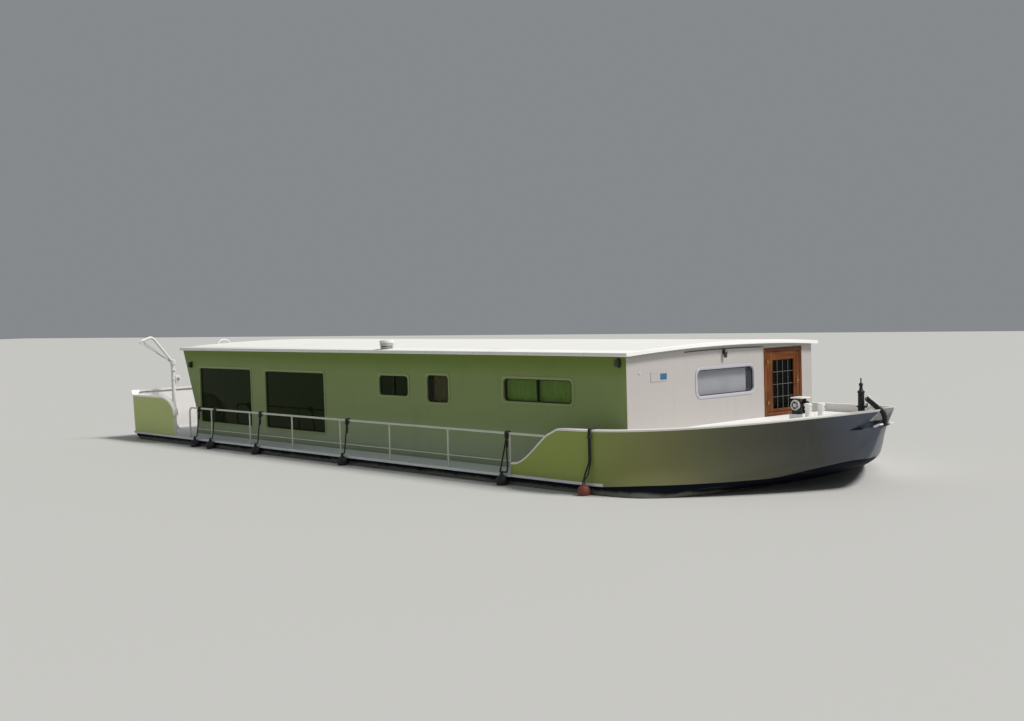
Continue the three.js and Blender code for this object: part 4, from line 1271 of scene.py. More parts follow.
@dataclass
class HullShell:
    """The hull, its decks and bulwarks, and their caps."""

    form: HullForm = field(default_factory=HullForm)
    side_deck: float = DECK_TOP
    deck_rim: float = 0.025
    deck_to_cap: float = 0.155
    deck_camber: float = 0.03
    deck_plate: float = 0.025
    bulwark: float = 0.06
    cap_thick: float = 0.03
    cap_out: float = 0.015
    cap_in: float = 0.085
    notch_from: float = 8.085
    notch_half: float = 0.17
    notch_floor: float = 0.835
    notch_slope: float = 0.875
    cheeks: float = 8.06
    well: tuple[float, float, float, float] = (-6.5, 5.5, 2.1, -0.3)
    trunk_x: float = -7.8
    trunk: float = 0.031
    boot: tuple[Flat, ...] = (
        (CABIN_FORE, 0.12), (6.2, 0.16), (7.38, 0.21), (8.02, 0.415), (8.46, 0.365), (FAR, 0.27))
    stern_fore: float = -6.55
    stern_top: float = 0.915
    stern_high: float = 1.005
    stern_corner: Flat = (0.56, 0.335)

    def build(self) -> None:
        """Makes every piece of the hull."""
        self.bottom()
        self.decks()
        self.fore_topside()
        self.fore_cap()
        self.foredeck()
        self.stern()

    def dress(self, solid: bpy.types.Object, name: str, slot: Slot, finish: Finish, crisp: float = 28.0,
              inside: Finish | None = None, middle: float = 3.5) -> None:
        """Gives a carved solid its finish and makes it a piece.

        Args:
            solid: The carved solid.
            name: The node that it is shown in place of.
            slot: The record's slot; not used.
            finish: What its outside is finished with.
            crisp: Angle past which an edge is shaded as an edge.
            inside: Another finish for faces that look in or up, but not in the anchor pocket, where the
                outside's dark bow tones stay as painted shade.
            middle: Station that the inward faces look towards.
        """
        solid.name = f"{name}_form"
        data = solid.data
        data.materials.clear()
        data.materials.append(finish.get())
        if inside:
            data.materials.append(inside.get())
        for face in data.polygons:
            outward = Vector((max(face.center.x - middle, 0) if middle > 0
                              else min(face.center.x - middle, 0), face.center.y, 0))
            looks_in = face.normal.dot(outward) < 0 or face.normal.z > 0.6
            # Faces in the anchor pocket, ahead of the cheeks and low down, keep the outside finish: its dark
            # bow tones are painted shade in the recess
            looks_in = looks_in and (face.center.x < self.cheeks or face.center.z > self.notch_floor + 0.15)
            face.material_index = 1 if inside and looks_in else 0
            face.use_smooth = True
        settle(solid, slot, Body.BOAT, (name,), crisp)

    def boot_outline(self, lift: float) -> list[Flat]:
        """The bottom paint's upper edge, bow to stern, as seen from the side."""
        corners = bent_route([(x, 0, z) for x, z in self.boot], 0.09, 8)
        return [(p.x, p.z + lift) for p in corners]

    def bottom(self) -> None:
        """The dark hull below the boot line, with the cabin's well in it."""
        aft, fore, half, floor = self.well
        below = side_prism([(-FAR, -0.9), (FAR, -0.9), *reversed(self.boot_outline(0)),
                            (-FAR, self.boot[0][1])])
        well = block_solid((aft, -half, floor), (fore, half, 0.6))
        trunk = raw_solid([[Vector((self.trunk_x, 0, z)) + out * self.trunk for out in compass(24)]
                           for z in (-0.8, 0.02)])
        hull = carved(self.form.solid(), (KEEP, below), (CUT, well), (CUT, trunk))
        self.dress(hull, "hull", Slot.BOTTOM, NAVY)

    def decks(self) -> None:
        """The side decks and the aft deck, with a rim that stands out from the hull."""
        z0 = self.boot[0][1] + GAP
        aft, fore, half, _ = self.well
        wide = carved(self.form.solid(self.deck_rim),
                      (KEEP, block_solid((-FAR, -FAR, z0), (self.form.step_x - 0.001, FAR, self.side_deck))))
        plain = carved(self.form.solid(), (KEEP, block_solid(
            (self.form.step_x - 0.05, -FAR, z0), (CABIN_FORE, FAR, self.side_deck))))
        deck = carved(wide, (JOIN, plain), (CUT, block_solid((aft, -half, -1), (fore, half, 1))))
        self.dress(deck, "side_deck", Slot.DECK, SIDE_DECK_PAINT)

    def notch(self) -> bpy.types.Object:
        """The slot in the stem head that the anchor lies in."""
        return block_solid((self.notch_from, -self.notch_half, self.notch_floor),
                           (FAR, self.notch_half, FAR))

    def pocket(self) -> bpy.types.Object:
        """The open pocket under the cheeks beside the slot."""
        x, z = self.notch_from, self.notch_floor
        return side_prism([(x, z), (FAR, z), (FAR, z + self.notch_slope * (FAR - x))])

    def beside(self, side: int, gap: float) -> bpy.types.Object:
        """All that lies outboard of the slot, on one side."""
        y = self.notch_half - gap
        ys = (y, FAR) if side > 0 else (-FAR, -y)
        return block_solid((self.cheeks - gap, ys[0], 0), (FAR, ys[1], FAR))

    def above_deck(self) -> bpy.types.Object:
        """All that lies above the foredeck's edge."""
        x0 = CABIN_FORE + GAP
        xs = spread(x0, FAR, 40)
        return side_prism([
            (self.form.step_x - 0.5, self.side_deck - 0.1), (x0, self.side_deck - 0.1),
            *((x, self.form.cap_z(x) - self.deck_to_cap) for x in xs),
            (FAR, 2.5), (self.form.step_x - 0.5, 2.5)])

    def fore_topside(self) -> None:
        """The white topsides round the bow, with the bulwark above the deck."""
        form = self.form
        x0, z0 = CABIN_FORE + GAP, self.side_deck + GAP
        top = [(x, form.cap_z(x) - self.cap_thick - GAP) for x in spread(form.step_x, FAR, 110)]
        boot = [(x, z) for x, z in self.boot_outline(GAP) if x > x0]
        side = side_prism([(form.step_x, z0), (x0, z0), (x0, self.boot[0][1] + GAP), *boot,
                           *reversed(top)])
        inside = carved(form.solid(-self.bulwark), (KEEP, self.above_deck()),
                        (CUT, self.beside(1, 0)), (CUT, self.beside(-1, 0)))
        shell = carved(form.solid(), (KEEP, side), (CUT, inside), (CUT, self.notch()),
                       (CUT, self.pocket()))
        self.dress(shell, "fore_topside", Slot.WHITE, TOPSIDE_SHADE_PAINT, inside=BULWARK_WHITE)

    def gunwale(self, grow: float) -> list[Vector]:
        """The starboard edge of the hull at the cap's height, from the step to the stem."""
        form = self.form
        edge = [Vector((x, -(HALF_BEAM + grow), form.cap_z(x)))
                for x in spread(form.step_x, form.bow_start, 36)[:-1]]
        first = form.corner_steps + 1
        for i in range(first, first + form.bow_steps + 1):
            z = form.cap_base
            for _ in range(4):
                x, y = form.plan_at(z, grow)[i]
                z = form.cap_z(x)
            edge.append(Vector((x, y, z)))
        return edge

    def fore_cap(self) -> None:
        """The cap rail: a bar with round edges that widens to plates on the cheeks."""
        outer, inner = self.gunwale(self.cap_out), self.gunwale(-self.cap_in)
        pairs = [(a, b) for a, b in zip(outer, inner) if b.x < self.cheeks + 0.05]
        width = self.cap_out + self.cap_in
        radius = 0.011
        section = rounded(0, -self.cap_thick, width, 0, radius, 4)
        for side, name in ((-1, "fore_cap_starboard"), (1, "fore_cap_port")):
            rings = []
            for a, b in pairs:
                across = Vector((b.x - a.x, -side * (b.y - a.y), 0)) / width
                start = Vector((a.x, -side * a.y, self.form.cap_z(a.x)))
                rings.append([start + across * u + Z_AXIS * v for u, v in section])
            bar = raw_solid(rings)
            xs = spread(self.cheeks - 0.03, FAR, 24)
            band = side_prism([*((x, self.form.cap_z(x) - self.cap_thick) for x in xs),
                               *((x, self.form.cap_z(x)) for x in reversed(xs))])
            plate = carved(self.form.solid(self.cap_out), (KEEP, band), (KEEP, self.beside(side, 0.02)),
                           (CUT, self.notch()))
            cap = carved(bar, (JOIN, plate))
            self.dress(cap, name, Slot.WHITE, CAP_WHITE, 35)

    def foredeck(self) -> None:
        """The cambered foredeck plate inside the bulwark."""
        form = self.form
        rings = []
        for x in spread(CABIN_FORE + GAP, BOW_TIP - self.cap_in, 40):
            edge = form.cap_z(x) - self.deck_to_cap + GAP
            half = max(-y for px, y in form.plan_at(edge, 0) if px > x - 0.4)
            top = [Vector((x, y, edge + self.deck_plate + self.deck_camber * (1 - (y / half) ** 2)))
                   for y in spread(half, -half, 20)]
            rings.append([Vector((x, -half, edge)), Vector((x, half, edge)), *top])
        deck = carved(raw_solid(rings), (KEEP, form.solid(-self.bulwark - GAP)), (CUT, self.notch()),
                      (CUT, self.beside(1, GAP)), (CUT, self.beside(-1, GAP)))
        self.dress(deck, "foredeck", Slot.WHITE, FOREDECK_PAINT)

    def stern_edge(self, offset: float) -> list[Flat]:
        """Upper edge of the stern bulwark in profile, from aft forward."""
        reach, drop = self.stern_corner
        edge = [(-FAR, self.stern_high + offset), (STERN + 0.09, self.stern_high + offset),
                (STERN + 0.15, self.stern_top + offset)]
        for angle in spread(0, math.pi / 2, 24):
            edge.append((self.stern_fore - reach + (reach + offset) * math.sin(angle),
                         self.stern_top - drop + (drop + offset) * math.cos(angle)))
        return edge

    def stern(self) -> None:
        """The bulwark round the aft deck, and its cap."""
        z0 = self.side_deck + GAP
        plate, cap, out, inside = 0.05, 0.035, 0.02, 0.08
        wall = side_prism([(-FAR, z0), (self.stern_fore, z0), *reversed(self.stern_edge(0))])
        bulwark = carved(self.form.solid(), (CUT, self.form.solid(-plate)), (KEEP, wall))
        self.dress(bulwark, "stern_bulwark", Slot.WHITE, STERN_SHADE_PAINT, inside=BULWARK_WHITE,
                   middle=-6.5)
        band = side_prism([*self.stern_edge(GAP),
                           (self.stern_fore + cap, self.stern_top - self.stern_corner[1] - 0.005),
                           *reversed(self.stern_edge(cap)[:-1])])
        rim = carved(self.form.solid(out), (CUT, self.form.solid(-inside)), (KEEP, band))
        self.dress(rim, "stern_cap", Slot.WHITE, CAP_WHITE)


# The roof and the cabin


@dataclass
class Roof:
    """The cambered roof with its trim, vent and hoop."""

    aft: float = -7.15
    fore: float = 5.715
    half: float = 2.28
    eaves: float = 1.89
    camber: float = 0.08
    thick: float = 0.055
    edge: float = 0.014
    vent: Flat = (-0.10, -2.08)
    hoop_x: float = -7.0
    hoop_y: Flat = (-1.44, -1.15)

    def under(self, y: float) -> float:
        """Height of the underside at a place across the boat."""
        return self.eaves + self.camber * (1 - (y / self.half) ** 2)

    def build(self) -> None:
        """Makes the roof's pieces."""
        self.sheet()
        self.trim()
        self.mushroom()
        self.hoop()

    def sheet(self) -> None:
        """The roof itself, with its edges rounded over."""
        ys = spread(-self.half + self.edge, self.half - self.edge, 40)
        section = [(y, self.under(y)) for y in ys]
        for side in (1, -1):
            at = side * (self.half - self.edge)
            base = self.under(at)
            for angle in spread(-90, 90, 8):
                turn = math.radians(angle)
                v = base + self.thick / 2 + (self.thick / 2) * math.sin(turn)
                section.append((at + side * self.edge * math.cos(turn), v))
            if side == 1:
                section.extend((y, self.under(y) + self.thick) for y in reversed(ys[1:-1]))
            else:
                tail = section[-9:]
                section[-9:] = list(reversed(tail))
        mould = Mould()
        lips = ((self.aft, 0.006), (self.aft + 0.006, 0.0), (self.fore - 0.006, 0.0), (self.fore, 0.006))
        rings = []
        for x, inset in lips:
            share = 1 - inset / self.half
            middle = self.eaves + self.thick / 2
            rings.append([Vector((x, y * share, middle + (z - middle) * (1 - inset / self.thick)))
                          for y, z in section])
        mould.rings(rings, ROOF_COAT)
        mould.piece("roof_sheet", Slot.ROOF, stands_for=("roof",), crisp=40)

    def trim(self) -> None:
        """A metal drip strip under the roof's fore edge."""
        section = oblong(CABIN_FORE + 0.004, 0.034, CABIN_FORE + 0.022, 0.004)
        mould = Mould()
        mould.rings([[Vector((x, y, self.under(y) - drop)) for x, drop in section]
                     for y in spread(-2.17, 2.17, 30)], ALLOY)
        mould.piece("front_eave_strip", Slot.STEEL)

    def mushroom(self) -> None:
        """The stove vent near the roof's starboard edge."""
        x, y = self.vent
        seat = self.under(y) + self.thick - 0.004
        mould = Mould()
        mould.turned([(0, 0), (0.110, 0), (0.110, 0.016), (0.104, 0.020), (0, 0.020)], GALVANISED,
                     (x, y, seat), sides=40)
        mould.turned([(0, 0.016), (0.098, 0.016), (0.098, 0.108), (0, 0.108)], BLACK_IRON,
                     (x, y, seat), sides=40)
        for low, high in ((0.030, 0.044), (0.058, 0.106)):
            mould.turned([(0.094, low), (0.113, low), (0.116, low + 0.003), (0.116, high - 0.003),
                          (0.113, high), (0.094, high)], GALVANISED, (x, y, seat), sides=40)
        mould.turned([(0, 0.104), (0.119, 0.106), (0.122, 0.111), (0.122, 0.142), (0.118, 0.150),
                      (0.062, 0.166), (0, 0.172)], WHITE_METAL, (x, y, seat), sides=40)
        mould.piece("roof_vent_cowl", Slot.STEEL, stands_for=("roof_vent",))
        points = [Vector((x, y, seat + 0.019)) + out * 0.104 for out in compass(8)]
        Studs(0.006, 0.004, GALVANISED).build("roof_vent_screws", points, [Z_AXIS] * 8, Slot.STEEL)

    def hoop(self) -> None:
        """The low hoop near the roof's aft edge."""
        y0, y1 = self.hoop_y
        foot = self.under(y0) + self.thick - 0.004
        mould = Mould()
        route = []
        for angle in spread(0, math.pi, 28):
            y = (y0 + y1) / 2 - (y1 - y0) / 2 * math.cos(angle)
            route.append(Vector((self.hoop_x, y, foot - 0.012 + 0.108 * math.sin(angle) ** 0.9)))
        mould.tube(route, 0.0135, WHITE_METAL, 16)
        for y in (y0, y1):
            base = self.under(y) + self.thick - 0.001
            mould.turned([(0, 0), (0.034, 0), (0.034, 0.004), (0.018, 0.007), (0, 0.008)], WHITE_METAL,
                         (self.hoop_x, y, base), sides=24)
        mould.piece("roof_hoop_tube", Slot.WHITE, stands_for=("roof_hoop",))


def on_starboard(u: float, v: float, w: float) -> Vector:
    """A place on the starboard cabin side: u forward, v up, w outwards."""
    return Vector((u, -CABIN_HALF - w, v))


def on_port(u: float, v: float, w: float) -> Vector:
    """A place on the port cabin side: u forward, v up, w outwards."""
    return Vector((u, CABIN_HALF + w, v))


def on_front(u: float, v: float, w: float) -> Vector:
    """A place on the cabin's front: u to port, v up, w outwards."""
    return Vector((CABIN_FORE + w, u, v))


def on_aft(u: float, v: float, w: float) -> Vector:
    """A place on the cabin's aft wall: u to port, v up, w outwards."""
    return Vector((CABIN_AFT - w, u, v))


def wall_normal(place: Place) -> Vector:
    """The way that a wall faces."""
    return (place(0, 0, 1) - place(0, 0, 0)).normalized()


@dataclass
class Window:
    """One window: a painted frame, its rubber seal, the pane, and a blind if it has one."""

    node: str
    place: Place
    axis: int
    corner: float = 0.086
    inner_corner: float = 0.07
    split: bool = False
    # The default frame finish is the painted-shade copy used on the starboard side
    frame: Finish = SHADED_FRAME_PAINT
    glass: Finish = SHADED_GLASS
    blind: Finish | None = None
    blind_reach: Flat = (0.0, 1.0)
    fold: Flat = (0.09, 0.006)

    def build(self) -> None:
        """Makes the window's pieces."""
        low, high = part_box(self.node)
        u0, u1 = low[self.axis], high[self.axis]
        v0, v1 = low.z, high.z

        def outline(inset: float) -> list[Flat]:
            """The window's outline at an inset from its flange's edge."""
            return rounded(u0 + inset, v0 + inset, u1 - inset, v1 - inset,
                           max(self.corner - inset, self.inner_corner), 9)

        frame = Mould()
        frame.border(outline, self.place, (
            (0.0006, 0.0008), (0.0006, 0.006), (0.004, 0.0096), (0.034, 0.0096), (0.040, 0.007),
            (0.044, -0.004), (0.044, -0.056), (0.0185, -0.056), (0.0185, 0.0008)), self.frame)
        frame.piece(f"{self.node}_frame", Slot.WALL, stands_for=(self.node,), crisp=38)

        glass = Mould()
        glass.border(outline, self.place, (
            (0.0435, -0.020), (0.052, -0.022), (0.056, -0.027), (0.056, -0.039), (0.0435, -0.042)), GASKET)
        glass.sheet(outline(0.050), self.place, -0.036, -0.030, self.glass)
        if self.split:
            middle, waist = (u0 + u1) / 2, (v0 + v1) / 2
            for shift, w in ((-0.008, -0.026), (0.010, -0.044)):
                bar = oblong(middle + shift - 0.011, v0 + 0.05, middle + shift + 0.011, v1 - 0.05)
                glass.sheet(bar, self.place, w, w + 0.014, GASKET)
            grip = oblong(middle - 0.012, waist - 0.025, middle - 0.004, waist + 0.025)
            glass.sheet(grip, self.place, -0.012, -0.006, GASKET)
        glass.piece(f"{self.node}_pane", Slot.GLASS, stands_for=(self.node,))
        self.screws(outline)
        if self.blind:
            self.hang_blind(u0, u1, v0, v1)

    def screws(self, outline: Callable[[float], list[Flat]]) -> None:
        """The screw heads in the frame, evenly spaced."""
        ring = [Vector((u, v, 0)) for u, v in outline(0.019)]
        ring.append(ring[0])
        lengths = [(b - a).length for a, b in zip(ring, ring[1:])]
        count = max(10, round(sum(lengths) / 0.19))
        spots = []
        gone, k = 0.0, 0
        for i in range(count):
            want = sum(lengths) * (i + 0.5) / count
            while gone + lengths[k] < want:
                gone += lengths[k]
                k += 1
            spots.append(ring[k].lerp(ring[k + 1], (want - gone) / lengths[k]))
        points = [self.place(p.x, p.y, 0.0092) for p in spots]
        Studs(0.0052, 0.0022, ALLOY, 10).build(f"{self.node}_screws", points,
                                               [wall_normal(self.place)] * count, Slot.STEEL)

    def hang_blind(self, u0: float, u1: float, v0: float, v1: float) -> None:
        """A blind of pleated cloth just inside the wall, and the rail that it hangs from."""
        start, end = (u0 + (u1 - u0) * share for share in self.blind_reach)
        low, high = v0 + 0.012, v1 + 0.02
        pitch, depth = self.fold
        folds = max(2, round((end - start) / pitch))
        columns = folds * 8
        across = spread(start, end, columns)
        waves = [depth * math.cos(2 * math.pi * c * folds / columns) for c in range(columns + 1)]
        mould = Mould()
        mould.shell([self.place(u, v, -WALL - 0.020 + wave) for v in (low, high)
                     for u, wave in zip(across, waves)],
                    [(c, c + 1, columns + 2 + c, columns + 1 + c) for c in range(columns)], self.blind)
        cloth = mould.piece(f"{self.node}_blind", None, crisp=0)
        width = sum(math.hypot((end - start) / columns, b - a) for a, b in zip(waves, waves[1:]))
        rail = Mould()
        rail.tube([self.place(start - 0.01, high + 0.009, -WALL - 0.018),
                   self.place(end + 0.01, high + 0.009, -WALL - 0.018)], 0.008, ALLOY, 12)
        rail_piece = rail.piece(f"{self.node}_blind_rail", Slot.STEEL)


# CAD nodes that stay in view, and their finishes
NODE_FINISHES = {
    "cabin_side_port": SIDE_WALL, "cabin_floor": FLOOR_PLANKS, "entrance_steps": STAIR_WOOD,
    "front_door_glass": SHADED_DOOR_GLASS, "aft_door_glass": SHADED_DOOR_GLASS, "skeg": NAVY,
}
SIDE_WINDOWS = {
    "saloon_aft": {"inner_corner": 0.035},
    "saloon_fore": {"inner_corner": 0.035},
    "galley": {"split": True},
    "washroom": {"blind": BLIND_BROWN, "blind_reach": (0.22, 1.0), "glass": CLEAR_GLASS},
    "berth": {"split": True, "blind": BLIND_GREEN, "blind_reach": (0.035, 1.0), "glass": CLEAR_GLASS},
}


class Cabin:
    """The cabin's windows and wall fittings."""

    def build(self) -> None:
        """Makes them."""
        # Starboard frames take the painted-shade copy of the frame paint
        sides = (("starboard", on_starboard, SHADED_FRAME_PAINT), ("port", on_port, PORT_FRAME_PAINT))
        for side, place, frame in sides:
            for name, extras in SIDE_WINDOWS.items():
                Window(f"window_{side}_{name}", place, 0, frame=frame, **extras).build()
        Window("window_front", on_front, 1, 0.126, frame=FRONT_FRAME, blind=BLIND_GREY,
               blind_reach=(0.0, 0.90), fold=(0.4, 0.003), glass=FRONT_GLASS).build()
        Window("window_aft", on_aft, 1, frame=PORT_FRAME_PAINT).build()
        self.lantern()
        self.eave_cable()
        self.bulkhead_lamps()
        self.plate()
        self.gland()

    def lantern(self) -> None:
        """The lantern that hangs over the front window."""
        low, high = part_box("lamp_front")
        middle = (low + high) / 2
        x0 = low.x + 0.0005
        x, y = x0 + 0.041, middle.y
        mould = Mould()
        mould.sheet(rounded(y - 0.022, high.z - 0.085, y + 0.022, high.z - 0.004, 0.008, 4),
                    on_front, GAP, 0.006, LAMP_BLACK)
        arm = smooth_route([(x0 + 0.004, y, high.z - 0.05), (x0 + 0.022, y, high.z - 0.020),
                            (x, y, high.z - 0.010), (x, y, high.z - 0.026)], 0.004)
        mould.tube(arm, 0.005, LAMP_BLACK, 10)
        mould.turned([(0, 0.118), (0.010, 0.116), (0.014, 0.108), (0.034, 0.092), (0.036, 0.088),
                      (0.030, 0.086), (0, 0.086)], LAMP_BLACK, (x, y, low.z), sides=6, smooth=False)
        mould.turned([(0, 0.086), (0.026, 0.086), (0.019, 0.014), (0, 0.014)], LAMP_GLASS,
                     (x, y, low.z), sides=6, smooth=False)
        for out in compass(6):
            mould.tube([Vector((x, y, low.z + 0.012)) + out * 0.020,
                        Vector((x, y, low.z + 0.089)) + out * 0.0285], 0.0028, LAMP_BLACK, 6)
        mould.turned([(0, 0.001), (0.012, 0.003), (0.024, 0.010), (0.024, 0.015), (0, 0.015)],
                     LAMP_BLACK, (x, y, low.z), sides=6, smooth=False)
        mould.piece("front_lantern", Slot.LAMP, stands_for=("lamp_front",))

    def eave_cable(self) -> None:
        """The thin dark cable clipped along the top of the front wall."""
        route = [on_front(y, Roof().under(y) - 0.062, 0.0065) for y in spread(-0.95, 0.92, 24)]
        mould = Mould()
        mould.tube(route, 0.006, LAMP_BLACK, 10)
        mould.piece("front_cable", Slot.LAMP)

    def bulkhead_lamps(self) -> None:
        """The two oval bulkhead lamps on the starboard side."""
        for node in ("lamp_side_fore", "lamp_side_aft"):
            low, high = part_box(node)
            u0, u1, v0, v1 = low.x, high.x, low.z, high.z
            depth = high.y - low.y

            def outline(inset: float, box: tuple = (u0, v0, u1, v1)) -> list[Flat]:
                """The lamp's oval outline at an inset."""
                a, b, c, d = box
                return rounded(a + inset, b + inset, c - inset, d - inset,
                               (c - a) / 2 - inset - 0.0005, 8)

            mould = Mould()
            rings = ((0.0, GAP), (0.0, 0.010), (0.004, 0.014), (0.010, 0.016), (0.012, depth * 0.45))
            mould.rings([[on_starboard(u, v, w) for u, v in outline(i)] for i, w in rings], LAMP_BLACK)
            dome = ((0.013, depth * 0.40), (0.013, depth * 0.6), (0.018, depth * 0.85),
                    (0.030, depth * 0.97))
            mould.rings([[on_starboard(u, v, w) for u, v in outline(i)] for i, w in dome], LAMP_GLASS)
            middle = (v0 + v1) / 2
            for v in (middle - 0.028, middle, middle + 0.028):
                bar = smooth_route([on_starboard(u0 + 0.006, v, 0.014),
                                    on_starboard(u0 + 0.012, v, depth * 0.8),
                                    on_starboard((u0 + u1) / 2, v, depth - 0.004),
                                    on_starboard(u1 - 0.012, v, depth * 0.8),
                                    on_starboard(u1 - 0.006, v, 0.014)], 0.006)
                mould.tube(bar, 0.003, LAMP_BLACK, 8)
            mould.piece(f"{node}_caged", Slot.LAMP, stands_for=(node,))

    def plate(self) -> None:
        """The blank plate on the front wall, white with a blue field."""
        low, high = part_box("name_plate")
        u0, u1, v0, v1 = low.y, high.y, low.z, high.z
        mould = Mould()
        mould.rings([[on_front(u, v, w) for u, v in rounded(u0 + i, v0 + i, u1 - i, v1 - i, 0.011 - i / 2)]
                     for i, w in ((0.0, GAP), (0.0, 0.005), (0.002, 0.0068))], PLATE_WHITE)
        mould.sheet(rounded(u0 + (u1 - u0) * 0.56, v0 + 0.024, u1 - 0.016, v1 - 0.026, 0.006, 4),
                    on_front, 0.006, 0.0074, PLATE_BLUE)
        mould.piece("plate_enamel", Slot.WHITE, stands_for=("name_plate",))
        points = [on_front(u, v, 0.0068) for u in (u0 + 0.010, u1 - 0.010)
                  for v in (v0 + 0.010, v1 - 0.010)]
        Studs(0.0042, 0.0016, ALLOY, 10).build("plate_screws", points, [X_AXIS] * 4, Slot.STEEL)

    def gland(self) -> None:
        """A small round cable gland high on the front wall."""
        mould = Mould()
        mould.turned([(0, GAP), (0.016, GAP), (0.016, 0.006), (0.010, 0.009), (0.009, 0.016), (0, 0.017)],
                     GREY_STEEL, on_front(-1.93, 1.64, 0), X_AXIS, 20)
        mould.piece("front_wall_gland", Slot.STEEL)


def paint_node(node: bpy.types.Object, finish: Finish, starboard: Finish | None = None) -> None:
    """Gives a CAD node that stays in view its finish, and to its outer faces that look to starboard a second
    finish, the painted-shade copy.
    """
    node.data.materials.clear()
    node.data.materials.append(finish.get())
    if starboard:
        node.data.materials.append(starboard.get())
        for face in node.data.polygons:
            face.material_index = 1 if face.normal.y < -0.9 and face.center.y < -2.1 else 0
    LOG.info("%s: finished with %s", node.name, finish.name)


